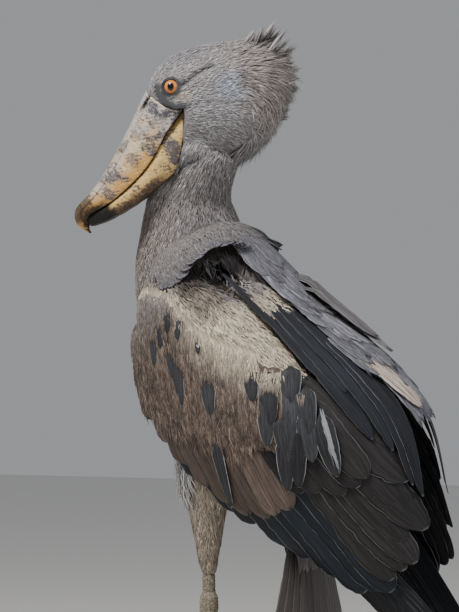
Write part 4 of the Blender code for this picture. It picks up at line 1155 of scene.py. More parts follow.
# The tiers from the lowest to the highest: guides, count, width, colour, seed, jitter and looks.
TIERS = {
    "primaries": (
        PRIMARIES, 7, 0.036, NIGHT, 3, 0.003,
        {"rows": 26, "half": 4, "rim": 0.25, "point": 0.1, "wear": 0.06, "camber": 0.0},
    ),
    "secondaries": (
        SECONDARIES, 9, 0.054, (0.009, 0.0125, 0.018), 4, 0.009,
        {"rows": 24, "half": 4, "rim": 0.5, "point": 0.16, "roll": 0.11, "dive": -0.009, "vary": 0.35},
    ),
    "tertials": (
        TERTIALS, 7, 0.056, (0.02, 0.0185, 0.0188), 5, 0.01,
        {"rows": 24, "half": 4, "rim": 0.5, "point": 0.26, "roll": 0.1, "wear": 0.14, "vary": 0.18},
    ),
    "greater_dark": (
        GREATER_DARK, 5, 0.042, (0.023, 0.0205, 0.021), 6, 0.003,
        {"rows": 20, "half": 4, "rim": 0.5, "point": 0.25, "roll": 0.1, "wear": 0.06, "vary": 0.25},
    ),
    # The greater coverts have full rims, which the brown coverts' finish paints near black as painted shade
    # between them.
    "greater": (
        GREATER, 9, 0.038, (0.085, 0.062, 0.051), 8, 0.006,
        {"rows": 22, "half": 5, "rim": 1.0, "point": 0.16, "roll": 0.2, "dive": -0.01, "fray": 0.06,
         "wear": 0.08, "tip_tone": WARM_TIP, "tip_mix": 0.5, "vary": 0.26},
    ),
    "median": (
        MEDIAN, 19, 0.034, BROWN, 9, 0.003,
        {**SHORT, "rows": 16, "half": 5, "point": 0.22, "fray": 0.2, "wear": 0.2, "tip_mix": 0.4,
         "vary": 0.22},
    ),
    "lesser": (
        LESSER, 26, 0.026, BROWN, 10, 0.003,
        {**SHORT, "rows": 14, "half": 4, "point": 0.3, "tip_mix": 0.3, "vary": 0.25},
    ),
    "shoulder": (
        SHOULDER, 26, 0.024, (0.46, 0.39, 0.3), 11, 0.003,
        {**SHORT, "tip_tone": TAUPE, "tip_mix": 0.85, "vary": 0.15},
    ),
}


def slate_coverts(side, place, start=0.0):
    """The single slate feathers of one wing. A start over 0 leaves out that share at their roots."""
    root, tip = (np.array([row[i] for row in SLATES]) for i in (0, 1))
    root = root + (tip - root) * (start - 0.12)
    level = 0.0112 - 0.012 * np.clip(tip[:, 0] - 0.28, 0, 1)
    return vanes(
        f"slates_{side}", place, root, tip, [row[2] for row in SLATES], level, (0.031, 0.032, 0.037),
        rows=16, half=4, rim=1.0, point=0.62, roll=0.02, camber=0.0018, quill=0.12, dive=-0.006,
        vary=0.22, wear=0.05, seed=7,
    )


def wing(side):
    """All the tiers of one wing as separate meshes, from the lowest to the highest."""
    place = wing_place(SIDES[side])
    parts = []
    for name, (guides, count, width, tone, seed, jitter, look) in TIERS.items():
        root, tip, level = tier(guides, count, seed, jitter)
        look = {**look, "seed": seed, "flip": side == "right"}
        parts.append(vanes(f"{name}_{side}", place, root, tip, width, level, tone, **look))
    drop = np.random.default_rng(12).normal(0, 0.0016, (5, 2, 2))
    root = np.array((0.335, 0.13)) + drop[:, 0]
    tip = np.array((0.425, 0.083)) + drop[:, 1] * (3, 1)
    parts.append(vanes(
        f"white_down_{side}", place, root, tip, 0.0048, 0.012, (0.27, 0.28, 0.3), rows=18, half=2,
        point=0.8, wear=0.85, fray=0.3, quill=0.2, seed=12,
    ))
    parts.append(slate_coverts(side, place))
    return parts


wing_parts = {side: wing(side) for side in SIDES}

# %% [markdown]
# Over the brown coverts the real feathers have come apart into hair-like barbs, so nothing there
# looks like a tile. Thousands of fine strands are laid over the vanes. Each asks the vanes below
# it how far out they lie, by casting a ray inwards, and leaves the slate feathers free.

# %% Loose brown barbs over the coverts


def brown_barbs(side, count, seed):
    place = wing_place(SIDES[side])
    parts = wing_parts[side]
    brown = tree_of([part for part in parts[4:] if not part.name.startswith("white")])
    mask = slate_coverts(side, place, 0.5)
    slates = tree_of([mask])
    bpy.data.objects.remove(mask)
    roots = spread_over((-0.01, -0.075), (0.37, 0.135), count, seed)
    rng = np.random.default_rng(seed)
    edge = cream_edge(roots[:, 0])
    roots = roots[(roots[:, 1] < edge + 0.026) & (roots[:, 1] > edge - 0.086 - 0.07 * rng.random(len(roots)))]
    last = np.interp(roots[:, 1], (-0.02, 0.06, 0.1, 0.14), (0.312, 0.272, 0.29, 0.3))
    roots = roots[roots[:, 0] < last + rng.normal(0, 0.008, len(roots))]
    along, height = roots.T
    over = height - cream_edge(along)
    patch = bumps(np.column_stack((roots * (1.0, 2.2), along * 0)), 0.035, 77)
    streak = np.column_stack((0.22 * (roots @ (0.8, -0.6)), roots @ (0.6, 0.8), along * 0))
    pick = rng.random(len(roots)) + 0.14 * patch + 0.34 * bumps(streak, 0.009, 78)
    high = ease(-0.055, 0.0, over)
    creamy = ease(-0.028, 0.016, over + 0.006 * patch) * rng.uniform(0.25, 1.0, len(roots))
    tone = washes(
        plain(BROWN, roots),
        ((0.17, 0.145, 0.13), 0.7 * high),
        (TAN, ease(0.4, 1.1, pick) * (0.6 + 0.2 * high)),
        (UMBER, 0.9 * ease(0.3, -0.1, pick)),
        (SMOKE, 0.65 * ease(0.075, 0.01, along)),
        (CREAM, creamy * ease(0.03, 0.07, along)),
    )
    ways = np.tile((0.8, -0.6), (len(roots), 1))
    size = (0.028, 0.0016)
    return strands(f"brown_barbs_{side}", place, brown, roots, ways, size, tone, seed, 0.11, clear=slates)


barbs = {side: brown_barbs(side, 30000, 120) for side in SIDES}

# %% [markdown]
# The cape at the foot of the neck and the scapulars behind it lie over the wings' upper edge. The
# cape's free edge stands off the wing, which opens a dark pocket beneath it; the skin and down in
# that pocket also carry painted shade.

# %% The mantle
# Grey scapular rows: start, end, width, reach, lift at the tip and spread down the side.
SCAPULARS = (
    (-0.02, 0.1, 0.036, 0.003, 0.003, 1.0), (0.03, 0.155, 0.038, 0.0034, 0.003, 0.75),
    (0.08, 0.215, 0.038, 0.0034, 0.0035, 0.6), (0.13, 0.27, 0.038, 0.0032, 0.004, 0.62),
    (0.18, 0.325, 0.038, 0.0028, 0.005, 0.8), (0.225, 0.375, 0.036, 0.002, 0.006, 0.8),
    (0.262, 0.42, 0.034, 0.0008, 0.009, 0.6),
)
SCAPULAR_TONE = (0.15, 0.15, 0.172)
# Scapulars of the far side that stand off the back: root, tip and reach.
RAISED = (
    ((0.085, -0.036), (0.215, -0.06), 0.012), ((0.1, -0.022), (0.25, -0.04), 0.0165),
    ((0.125, -0.01), (0.275, -0.024), 0.0185), ((0.16, -0.018), (0.303, -0.036), 0.015),
)
# Long slate scapulars low on the side: root and tip as distance along and degrees, width, reach.
LONG_SLATES = (
    ((0.06, 41), (0.205, 40), 0.011, -0.0016), ((0.15, 36), (0.415, 47), 0.03, -0.001),
    ((0.14, 30), (0.335, 41), 0.026, -0.0006), ((0.13, 24), (0.445, 39), 0.032, 0.0),
    ((0.14, 18), (0.5, 33), 0.036, 0.0008), ((0.19, 19), (0.52, 27), 0.036, 0.0012),
)
MANTLE_ARM = 0.0026


def back_place(along, across, out):
    return mantle_place(along, across / MANTLE_ARM, out)


def scapulars():
    """Long slate feathers low on each side, then rows of grey ones over the middle of the back."""
    parts = []

    def add(name, root, tip, width, level, tone, **look):
        parts.append(vanes(name, back_place, root, tip, width, level, tone, flip=True, **look))

    roots, tips, widths, levels = zip(*LONG_SLATES)
    for side, sign in SIDES.items():
        arm = (1, sign * MANTLE_ARM)
        add(
            "long_slates_" + side, np.array(roots) * arm, np.array(tips) * arm, widths, levels,
            (0.013, 0.015, 0.02), rows=24, half=4, rim=0.6, point=0.3, roll=-0.12 * sign, dive=-0.007,
            wear=0.12, vary=0.3, seed=41,
        )
    add(
        "buff_scapular", [(0.262, 0.04)], [(0.418, 0.018)], 0.044, 0.0048, (0.4, 0.33, 0.285), rows=24,
        half=5, rim=0.5, point=0.3, roll=-0.05, dive=-0.006, wear=0.14, fray=0.05, lift=0.009, seed=42,
    )
    roots, tips, levels = zip(*RAISED)
    add(
        "raised_scapulars", roots, tips, 0.042, levels, (0.125, 0.118, 0.125), rows=20, half=5, rim=0.8,
        point=0.3, roll=0.1, dive=-0.022, wear=0.14, fray=0.06, vary=0.15, seed=43, camber=0.003,
    )
    for number, (start, end, width, level, lift, spread) in enumerate(SCAPULARS):
        rng = np.random.default_rng(20 + number)
        for side, sign in SIDES.items():
            degrees = (np.arange(1.6, 22.0, 5.8) + 2.9 * (number % 2)) * spread
            across = sign * degrees * MANTLE_ARM
            root = np.column_stack((np.full(len(across), start), across * 0.92))
            tip = (end + rng.normal(0, 0.014, len(across)), across * 1.12 + rng.normal(0, 0.003, len(across)))
            # Painted shade: each row is painted darker further down the side, which turns away from the light
            # above.
            tone = wash(plain(SCAPULAR_TONE, across), (0.105, 0.108, 0.135), degrees / 30)
            add(
                f"scapulars_{number}_{side}", root, np.column_stack(tip), width, level - 0.0001 * number,
                tone, rows=18, half=4, rim=0.8, point=0.32, lift=lift, roll=-0.08 * sign, wear=0.16,
                vary=0.28, seed=30 + number, camber=0.001, fray=0.1,
            )
    return parts


# The cape's free edge, left of the midline: degrees round the sleeve and distance along it.
CAPE_EDGE = (
    (0, 0.052), (18, 0.05), (24, 0.04), (37, 0.027), (48, 0.025), (55, 0.029), (63, 0.035), (73, 0.033),
    (80, 0.022),
)
CAPE_TONE = (0.125, 0.123, 0.14)


def cape():
    """Rows of short smooth feathers from the foot of the neck out to the free edge."""
    parts = []
    for number, back in enumerate((0.03, 0.0)):
        rng = np.random.default_rng(50 + number)
        degrees = np.arange(-79 + 2 * number, 80, 4.4)
        turn = np.abs(degrees)
        end = np.interp(turn, *np.array(CAPE_EDGE).T) - back + rng.normal(0, 0.0012, len(degrees))
        open_edge = ease(14, 26, turn) * ease(70, 52, turn)
        lift = 0.0025 + (0.007 + 0.0075 * number) * open_edge
        across = degrees * MANTLE_ARM
        root, tip = np.column_stack((end - 0.062, across * 0.96)), np.column_stack((end, across))
        parts.append(vanes(
            f"cape_{number}", back_place, root, tip, 0.024, 0.003 - 0.0006 * number, CAPE_TONE, rows=14,
            half=4, point=0.12, lift=lift, dive=-0.01, fray=0.03, roll=0.02, vary=0.06,
            seed=60 + number, camber=0.0004, flip=True,
        ))
    return parts


def cape_strands(parts, count, seed):
    """Fine grey feathers that hide the cape's sheet and stand a little over its free edge."""
    limit = 80 * MANTLE_ARM
    roots = spread_over((-0.085, -limit), (0.05, limit), count, seed)
    edge = np.interp(np.abs(roots[:, 1]) / MANTLE_ARM, *np.array(CAPE_EDGE).T)
    roots = roots[roots[:, 0] < edge - 0.021]
    share = ease(-0.03, 0.03, roots[:, 0])
    tone = wash(plain(SMOKE, roots) * 0.85, CAPE_TONE, 0.85 * share)
    tone = wash(tone, PALE, 0.3 * (np.random.default_rng(seed).random(len(roots)) > 0.75))
    ways = np.column_stack((np.ones(len(roots)), 0.18 * np.sign(roots[:, 1])))
    size = (0.02, 0.0018)
    return strands("cape_strands", back_place, tree_of(parts), roots, ways, size, tone, seed, loose=0.0014)


def scapular_strands(parts, count, seed):
    """Loose grey barbs over the scapulars, so their rows don't look like tiles."""
    tree = tree_of([part for part in parts if part.name.startswith("scapulars")])
    limit = 27 * MANTLE_ARM
    roots = spread_over((-0.02, -limit), (0.34, limit), count, seed)
    streak = np.column_stack((0.25 * roots[:, 0], roots[:, 1], roots[:, 0] * 0))
    pick = np.random.default_rng(seed).random(len(roots)) + 0.3 * bumps(streak, 0.008, 79)
    tone = washes(
        plain(SCAPULAR_TONE, roots),
        ((0.2, 0.2, 0.23), ease(0.5, 1.3, pick)),
        ((0.075, 0.075, 0.09), ease(0.35, -0.1, pick)),
    )
    ways = np.column_stack((np.ones(len(roots)), 0.14 * np.sign(roots[:, 1])))
    size = (0.028, 0.001)
    return strands("scapular_strands", back_place, tree, roots, ways, size, tone, seed, 0.07, 0.0008)


cape_parts = cape()
mantle_parts = scapulars() + cape_parts
coat["cape_strands"] = cape_strands(cape_parts, 13000, 130)
coat["scapular_strands"] = scapular_strands(mantle_parts, 2200, 131)

# %% [markdown]
# The tail is a short fan of twelve broad feathers that hangs below the wing tips, seen edge to edge.

# %% The tail
TAIL_LENGTH = 0.245
TAIL_SPREAD = math.radians(24)
TAIL_DROP = math.radians(84)
TAIL_ROOT = np.array((0.158, 0.0, 0.405))


def tail_place(down, across, out):
    along = np.array((math.cos(TAIL_DROP), 0.0, -math.sin(TAIL_DROP)))
    over = np.array((math.sin(TAIL_DROP), 0.0, math.cos(TAIL_DROP)))
    high = out - 1.1 * across * across
    return TAIL_ROOT + down[:, None] * along + across[:, None] * [0, 1, 0] + high[:, None] * over


def tail():
    """The twelve tail feathers with two rows of coverts above and below their roots."""
    at = np.linspace(-1, 1, 12)
    root = np.column_stack((np.full(12, 0.004), 0.75 * at * 0.044))
    length = TAIL_LENGTH * (1 - 0.05 * at * at)
    tip = root + length[:, None] * np.column_stack((np.cos(at * TAIL_SPREAD), np.sin(at * TAIL_SPREAD)))
    level = 0.0055 - 0.0018 * (np.abs(at) * 11 - 1) / 2 - np.where(at > 0, 0.0009, 0.0)
    parts = [vanes(
        "tail_feathers", tail_place, root, tip, 0.036, level, (0.066, 0.058, 0.056), rows=24, half=4,
        rim=0.25, point=0.08, dive=-0.002, wear=0.06, vary=0.1, seed=70, shaft=0.0007, flip=True,
    )]
    for number, (reach, count, out) in enumerate(((0.085, 14, 0.0085), (0.055, 12, 0.011))):
        at = np.linspace(-1, 1, count)
        root = np.column_stack((np.full(count, -0.035), at * 0.03))
        tip = np.column_stack((np.full(count, reach), at * 0.062))
        for face in (1, -1):
            parts.append(vanes(
                f"tail_coverts_{number}_{face}", tail_place, root, tip, 0.026, face * out,
                (0.13, 0.12, 0.118), rows=10, dive=-face * 0.004, wear=0.2, fray=0.15,
                seed=80 + number, flip=face > 0,
            ))
    return parts


tail_parts = tail()

# %% [markdown]
# Body feathers come next, form by form. They are small and dense on the face, longer on the neck,
# and long and loose on the breast and thighs. The inner half of each wing has cream down, and the
# nape carries a ragged crest of long pointed feathers.

# %% Body feathers


def feathered(points):
    """True where the head carries feathers: behind the horn's edge and off the bare skin."""
    f, g, _ = in_head(points)
    edge = np.array(FACE_EDGE)[::-1]
    behind = f < np.interp(g, edge[:, 1], edge[:, 0]) - 0.002
    return behind & (bare_depth(f, g) < 0.4)


plumage("face_feathers", ("head",), 190000, (0.011, 0.0011), 0.0012, 0.24, 0.28, 101, feathered)


def nape_line(g):
    """Where the long feathers of the back of the head begin, at each height."""
    return -0.03 - 0.25 * np.clip(-g, 0, 0.1) + 0.9 * np.clip(-g - 0.055, 0, 0.04)


def nape(points):
    """True on the back of the head, where the feathers are long."""
    f, g, _ = in_head(points)
    return (f < nape_line(g)) & (g > -0.115)


def hood(density, seed):
    """Long feathers on the back of the head. They stand off it in a ragged edge and bridge the nape."""
    roots, normals, uv, _, rng = scatter(("head",), density, seed, nape)
    f, g, side = in_head(roots)
    clump = bumps(roots, 0.008, seed)
    turn = np.interp(g, (-0.1, -0.06, -0.03, 0.0, 0.035, 0.07), (142, 124, 85, 45, 4, -28))
    behind = ease(0.0, 0.044, nape_line(g) - f + 0.008 * clump)
    behind = np.maximum(behind, ease(-0.055, -0.075, g))
    turn = np.radians(turn * (0.3 + 0.7 * behind) + 11 * clump + rng.normal(0, 7, len(roots)))
    way = -AHEAD * np.cos(turn)[:, None] - CROWN * np.sin(turn)[:, None] + LEFT * (5 * side)[:, None]
    flat = np.interp(g, (-0.03, 0.03), (0.85, 0.5))
    way = laid(way, normals, flat)
    longer = np.interp(g, (-0.08, -0.05, -0.02, 0.03), (1.8, 1.4, 1.0, 1.0))
    length = 0.031 * rng.uniform(0.55, 1.2, len(roots)) * longer
    length = length * (0.35 + 0.65 * behind)
    middle = roots + way * (length * 0.5)[:, None] + normals * (0.0004 + 0.0018 * behind)[:, None]
    tip_high = behind * rng.uniform(-0.001, 0.004, len(roots))
    tip = roots + way * length[:, None] + normals * tip_high[:, None]
    tone = wash(markings_and_shade(roots, "head"), SMOKE, rng.random(len(roots)) * 0.8)
    tone = tone * (rng.lognormal(0, 0.22, len(roots)) * np.exp(0.12 * clump))[:, None]
    paths = np.stack((roots - normals * ROOT_DEPTH, middle, tip), axis=1)
    width = rng.uniform(0.0012, 0.0026, len(roots))
    coat["nape_feathers"] = lances("nape_feathers", paths, normals, width, np.clip(tone, 0.01, 0.9), uv)
    print("nape_feathers", len(roots), "tufts")


hood(150000, 107)


def jaw_end(points):
    """True behind the jaw, where the head's feathers part from the neck's."""
    f, g, _ = in_head(points)
    return (np.abs(f - 0.002) < 0.02) & (g < -0.066) & (g > -0.105)


plumage("jaw_feathers", ("head",), 220000, (0.026, 0.0013), 0.003, 0.2, 0.22, 110, jaw_end)
plumage("neck_feathers", ("neck",), 200000, (0.022, 0.0013), 0.0024, 0.14, 0.28, 102)
plumage("breast_feathers", ("torso",), 70000, (0.036, 0.003), 0.0045, 0.14, 0.2, 103, bridge=True)
plumage("thigh_feathers", ("thigh",), 150000, (0.022, 0.0018), 0.0022, 0.22, 0.26, 104)
low_skin = skin_points[(skin_points[:, 2] > 0.44) & (skin_points[:, 2] < 0.47), 0]
THIGH_FRONT = float(np.quantile(low_skin, 0.1))
THIGH_SIDE = 0.062
WING_FRONT = -0.035


def thigh_front(points):
    """True on the front of the thigh just under the wing, where a white tuft hangs."""
    ragged = 0.008 * bumps(points, 0.012, 33)
    high = points[:, 2] + ragged
    ahead = (points[:, 0] < THIGH_FRONT + ragged) & (np.abs(points[:, 1]) > THIGH_SIDE)
    return (high > 0.468) & (high < 0.515) & ahead


plumage(
    "thigh_tuft", ("thigh", "torso"), 170000, (0.048, 0.0024), 0.01, 0.16, 0.25, 108, thigh_front,
    (0.55, 0.54, 0.54),
)


def down_zone(points):
    """True on the wing's inner half and under the cape, between brown coverts and scapulars."""
    s, t = on_wing(points)
    wanted = (t > cream_edge(s) - 0.01) & (s > -0.01) & (s < 0.34)
    return wanted & (np.abs(points[:, 1]) > 0.035)


def wing_front(points):
    """True on the wing's own skin at its front edge, which no covert reaches."""
    return (points[:, 0] < WING_FRONT) & (np.abs(points[:, 1]) > 0.05)


plumage("wing_down", ("wing", "mantle"), 150000, (0.028, 0.002), 0.0045, 0.2, 0.16, 105, down_zone)
plumage("wing_edge", ("wing",), 90000, (0.026, 0.0022), 0.0035, 0.2, 0.25, 109, wing_front)

# %% The crest
CREST = (
    ((-0.068, 0.066), (-0.098, 0.08)), ((-0.073, 0.064), (-0.111, 0.083)),
    ((-0.079, 0.06), (-0.126, 0.088)), ((-0.086, 0.053), (-0.138, 0.087)),
    ((-0.09, 0.047), (-0.142, 0.075)), ((-0.095, 0.039), (-0.144, 0.056)),
    ((-0.098, 0.032), (-0.156, 0.049)), ((-0.1, 0.02), (-0.154, 0.024)),
    ((-0.102, 0.008), (-0.144, -0.001)), ((-0.099, -0.004), (-0.142, -0.013)),
    ((-0.095, -0.015), (-0.127, -0.026)), ((-0.087, -0.029), (-0.115, -0.045)),
    ((-0.077, -0.041), (-0.101, -0.064)),
)


def crest(clumps, each, seed):
    """Locks of long pointed feathers that lean together and curl up at their tips."""
    rng = np.random.default_rng(seed)
    count = clumps * each

    def shared(values):
        """One value for all the feathers of a lock."""
        return np.repeat(values, each, axis=0)

    guides = [(*root, *tip) for root, tip in CREST]
    rows = shared(track(guides, (len(CREST) - 1) * np.sort(rng.random(clumps)) ** 1.7))
    root_f, root_g, tip_f, tip_g = rows.T
    side = shared(rng.normal(0, 0.011, clumps).clip(-0.024, 0.024)) + rng.normal(0, 0.0022, count)
    near = 1 - 90 * side * side
    start_f = root_f * near + 0.018 + rng.normal(0, 0.004, count)
    root = head_place(start_f, root_g * near + rng.normal(0, 0.003, count), side)
    reach = shared(rng.uniform(0.62, 1.06, clumps)) * rng.uniform(0.78, 1.05, count)
    reach = reach * (1 - 8 * np.abs(side))
    rise = shared(rng.normal(0.001, 0.005, clumps))
    end_f = root_f + (tip_f - root_f) * reach
    end_g = root_g + (tip_g - root_g) * reach + rise + rng.normal(0, 0.0012, count)
    lean = shared(rng.normal(0, 0.004, clumps))
    end = head_place(end_f, end_g, side * 1.3 + lean + rng.normal(0, 0.001, count))
    along = unit(end - root)
    outwards = LEFT * np.where(side > -0.004, 1, -1)[:, None] * rng.uniform(0.2, 1.2, (count, 1))
    normals = laid(unit(np.cross(LEFT, along) * 0.8 + outwards), along)
    middle = (root + end) / 2 - CROWN * (0.0062 + 0.3 * np.abs(rise))[:, None]
    tone = wash(np.tile(ASH, (count, 1)) * 1.1, SMOKE, rng.random(count) * 1.2)
    tone = wash(tone, POCKET_SHADE_AND_DARK_LOCKS, 0.85 * (rng.random(count) < 0.17))
    tone = tone * shared(rng.lognormal(0.0, 0.32, clumps))[:, None]
    width = rng.uniform(0.0012, 0.0026, count)
    paths = np.stack((root, middle, end), axis=1)
    coat["crest"] = lances("crest", paths, normals, width, np.clip(tone, 0.02, 0.9), on_skin_map(root))
    print("crest", count, "tufts")


crest(120, 16, 106)

# %% [markdown]
# The bill is horn over bone: a deep ridged upper half with a hook, and a lower half like a trough.
# Both could be cut from one block, but a loft through measured sections follows the ridge and the
# mouth line better. A region cut out with a Boolean gives each half its edge along the mouth.

# %% The bill's two halves


def bill_half(name, rows, shape, region):
    """One half of the bill: lofted sections, cut to its region, melted and smoothed."""
    bm = bmesh.new()
    rings = []
    a = circle(56)
    flat_rows = [(*ridge, *mouth, width) for ridge, mouth, width in rows]
    for f0, g0, f1, g1, width in track(flat_rows, np.linspace(0, len(rows) - 1, 64)):
        share, spread = shape(a)
        width = max(width, 0.0008)
        rings.append(head_place(f1 + (f0 - f1) * share, g1 + (g0 - g1) * share, spread * width))
    loft(bm, rings)
    bmesh.ops.triangulate(bm, faces=bm.faces)
    half = to_object(name, bm)
    subtract(half, prism("region", region), "INTERSECT")
    return melt(half, 0.0013, 3)


def upper_shape(a):
    c, s = np.cos(a), np.sin(a)
    rise = np.where(c > 0, np.abs(c) ** 0.85, -(np.abs(c) ** 0.6) * 0.22)
    return (rise + 0.22) / 1.22, np.sign(s) * np.abs(s) ** 0.62


def lower_shape(a):
    c, s = np.cos(a), np.sin(a)
    return ((1 - c) / 2) ** 1.15, np.sign(s) * np.abs(s) ** np.where(c > 0, 0.12, 0.62)


mouth_up, mouth_down = shifted(MOUTH, 0.0002), shifted(MOUTH, -0.0002)
face = shifted(FACE_EDGE, 0.0001)
corner = (face[GAPE][0] + 0.0005, face[GAPE][1])
outside = [(0.098, 0.3), (FAR, 0.3), (FAR, -0.2), (0.25, -0.2)]
upper_region = [corner, *face[:GAPE][::-1], *outside, *mouth_up[:1:-1]]
corner = (face[GAPE][0] + 0.0002, face[GAPE][1] - 0.0005)
lower_region = [*mouth_down[:1:-1], corner, *face[GAPE + 1 :], (0.098, -0.3), (0.247, -0.3)]
bill_upper = bill_half("bill_upper_horn", UPPER_BILL, upper_shape, upper_region)
bill_lower = bill_half("bill_lower_horn", LOWER_BILL, lower_shape, lower_region)
print("bill", len(bill_upper.data.vertices), len(bill_lower.data.vertices), "points")

# %% [markdown]
# The horn isn't smooth: a groove runs along each side of the ridge, the nostrils are slits in it,
# and the surface is worn in shallow steps. Moving points by such functions of their place on the
# bill is quicker than sculpting. The same place also chooses the colour, which is laid in washes;
# some are painted shade in the groove, the nostrils and along the mouth, and one is a painted
# highlight along the horn's edge by the face.

# %% The bill's relief and colours
HORN = (0.6, 0.46, 0.27)
HORN_GREY = (0.34, 0.32, 0.33)
HORN_SLATE = (0.055, 0.055, 0.075)
OCHRE = (0.56, 0.29, 0.055)
OLIVE_BLACK = (0.014, 0.013, 0.011)
RUST = (0.055, 0.024, 0.013)
# Slate patches of the upper half: place in the head's plane, reach and strength.
HORN_SPOTS = (
    (0.094, 0.014, 0.015, 0.95), (0.076, 0.002, 0.014, 0.95), (0.066, -0.008, 0.012, 0.9),
    (0.096, -0.004, 0.018, 0.6), (0.092, -0.03, 0.014, 0.75), (0.117, -0.037, 0.017, 0.85),
    (0.128, -0.016, 0.016, 0.5), (0.15, -0.05, 0.015, 0.6), (0.16, -0.024, 0.014, 0.55),
    (0.186, -0.066, 0.021, 0.9), (0.203, -0.088, 0.014, 0.8), (0.205, -0.06, 0.014, 0.5),
)
RIDGE_GROOVE = shifted([row[0] for row in UPPER_BILL], -0.0105)
NOSTRIL_AT = np.array((0.1065, 0.0265))
NOSTRIL_WAY = np.array((0.741, -0.671))


def near_nostril(f, g):
    away = np.column_stack((f, g)) - NOSTRIL_AT
    along = away @ NOSTRIL_WAY
    across = away @ np.array((-NOSTRIL_WAY[1], NOSTRIL_WAY[0]))
    return (along / 0.0135) ** 2 + (across / 0.0027) ** 2


def horn_relief(obj, rows):
    """Moves the horn's points for its groove, nostrils and worn steps."""
    points, normals = read_points(obj.data), read_normals(obj.data)
    f, g, side = in_head(points)
    depth = 0.0003 * bumps(points, 0.016, 5) + 0.00012 * bumps(points, 0.005, 6)
    if rows is UPPER_BILL:
        groove = beside(f, g, RIDGE_GROOVE, 0.0016)
        flank = ease(0.004, 0.012, np.abs(side))
        depth = depth - 0.0016 * groove * flank
        depth = depth - 0.006 * np.exp(-near_nostril(f, g) ** 1.5) * flank
    move_points(obj, points + normals * depth[:, None])


def upper_tone(f, g, side, mouth, patchy, fine, tiny, speckle):
    """Colours of the upper half: grey by the face, yellow by the mouth, slate patches, a painted highlight
    along the edge by the face, and painted shade in the groove and the nostril slits.
    """
    ridge = line_distance(f, g, [row[0] for row in UPPER_BILL])
    groove = beside(f, g, RIDGE_GROOVE, 0.0011)
    edge = line_distance(f, g, FACE_EDGE[2:7])
    tone = washes(
        plain(HORN, f),
        (HORN_GREY, 0.75 * ease(0.024, 0.006, ridge + 0.004 * fine)),
        (HORN_GREY, 0.8 * ease(0.15, 0.09, f + 0.02 * patchy)),
        (OCHRE, 0.95 * ease(0.03, 0.008, mouth + 0.005 * fine) * ease(0.085, 0.12, f)),
        (OCHRE, 0.6 * ease(0.2, 1.2, patchy + 0.5 * fine) * ease(0.1, 0.15, f)),
    )
    for at_f, at_g, reach, strength in HORN_SPOTS:
        spot = np.exp(-((f - at_f) ** 2 + (g - at_g) ** 2) / reach**2)
        spot = spot * ease(0.006, 0.02, np.abs(side))
        weight = ease(0.8, 1.15, 1.7 * spot + 0.6 * speckle) * (spot > 0.04)
        tone = wash(tone, HORN_SLATE, strength * weight)
    along_mouth = ease(0.007, 0.002, mouth + 0.0014 * fine) * ease(0.4, 0.8, tiny + 0.6 * fine)
    flank = np.abs(side) > 0.004
    return washes(
        tone,
        (HORN_SLATE, 0.8 * along_mouth * ease(0.12, 0.16, f)),
        # A painted highlight: a pale cream line along the edge of the horn by the face.
        ((0.7, 0.6, 0.44), 0.9 * ease(0.0034, 0.0014, edge)),
        # Painted shade: the groove along the ridge darker, and the nostril slits near black.
        ((0.05, 0.04, 0.035), 0.85 * groove * flank),
        ((0.004, 0.004, 0.004), 1.4 * np.exp(-near_nostril(f, g) ** 1.5) * flank),
    )


def lower_tone(f, g, fine, speckle):
    """Colours of the lower half: ochre, dark at the rear, rusty along its lower edge."""
    rear = np.exp(-((f - 0.086) ** 2 / 0.016**2 + (g + 0.058) ** 2 / 0.036**2))
    low = line_distance(f, g, [row[1] for row in LOWER_BILL])
    return washes(
        wash(plain(HORN, f), (0.58, 0.38, 0.125), 0.85),
        (HORN_SLATE, 0.9 * ease(0.55, 0.85, 1.45 * rear + 0.55 * speckle)),
        ((0.07, 0.05, 0.04), 0.8 * ease(0.8, 1.2, speckle + ease(0.018, 0.006, low))),
        (RUST, 0.95 * ease(0.017, 0.008, low + 0.004 * fine) * ease(0.1, 0.13, f)),
    )


def horn_tone(points, rows):
    """The horn's colour at points of one half, with what both halves share laid on last, painted shade along
    the mouth included.
    """
    f, g, side = in_head(points)
    mouth = line_distance(f, g, MOUTH[1:])
    patchy, fine, tiny = bumps(points, 0.022, 8), bumps(points, 0.0065, 9), bumps(points, 0.0028, 10)
    speckle = 0.5 * patchy + 0.55 * fine + 0.5 * tiny
    if rows is UPPER_BILL:
        tone = upper_tone(f, g, side, mouth, patchy, fine, tiny, speckle)
        tip = 0.95 * ease(0.0125, 0.005, mouth + 0.002 * fine) * ease(0.2, 0.225, f)
        hook = ease(0.222, 0.238, f + 0.004 * fine) * ease(-0.124, -0.112, g)
        tip, worn = np.maximum(tip, 0.8 * hook), 0.4
    else:
        tone = lower_tone(f, g, fine, speckle)
        tip, worn = ease(0.19, 0.215, f + 0.006 * patchy), 0.15
    tone = washes(
        tone,
        (HORN_SLATE, 0.75 * ease(0.62, 0.95, speckle)),
        ((0.74, 0.68, 0.58), worn * ease(0.45, 1.0, tiny - 0.4 * fine)),
        (OLIVE_BLACK, tip),
        # Painted shade: a thin dark line along the mouth, in the gap between the two halves.
        ((0.03, 0.02, 0.012), ease(0.0014, 0.0005, mouth)),
    )
    return np.clip(tone, 0.004, 0.9)


for half, rows in ((bill_upper, UPPER_BILL), (bill_lower, LOWER_BILL)):
    horn_relief(half, rows)
    paint(half.data, horn_tone(read_points(half.data), rows))
    half.data.transform(Matrix.Translation(SHIFT))

# %% [markdown]
# An eye is a ball with a raised clear front. The ball alone would look flat, so its front bulges
# where the iris lies, and a coat of gloss stands for the wet clear skin. Its UV map puts the iris
# on a circle, which lets the material draw pupil, streaks and rings at their real size. The bare
# lids are rings of skin turned round the eye with spin.

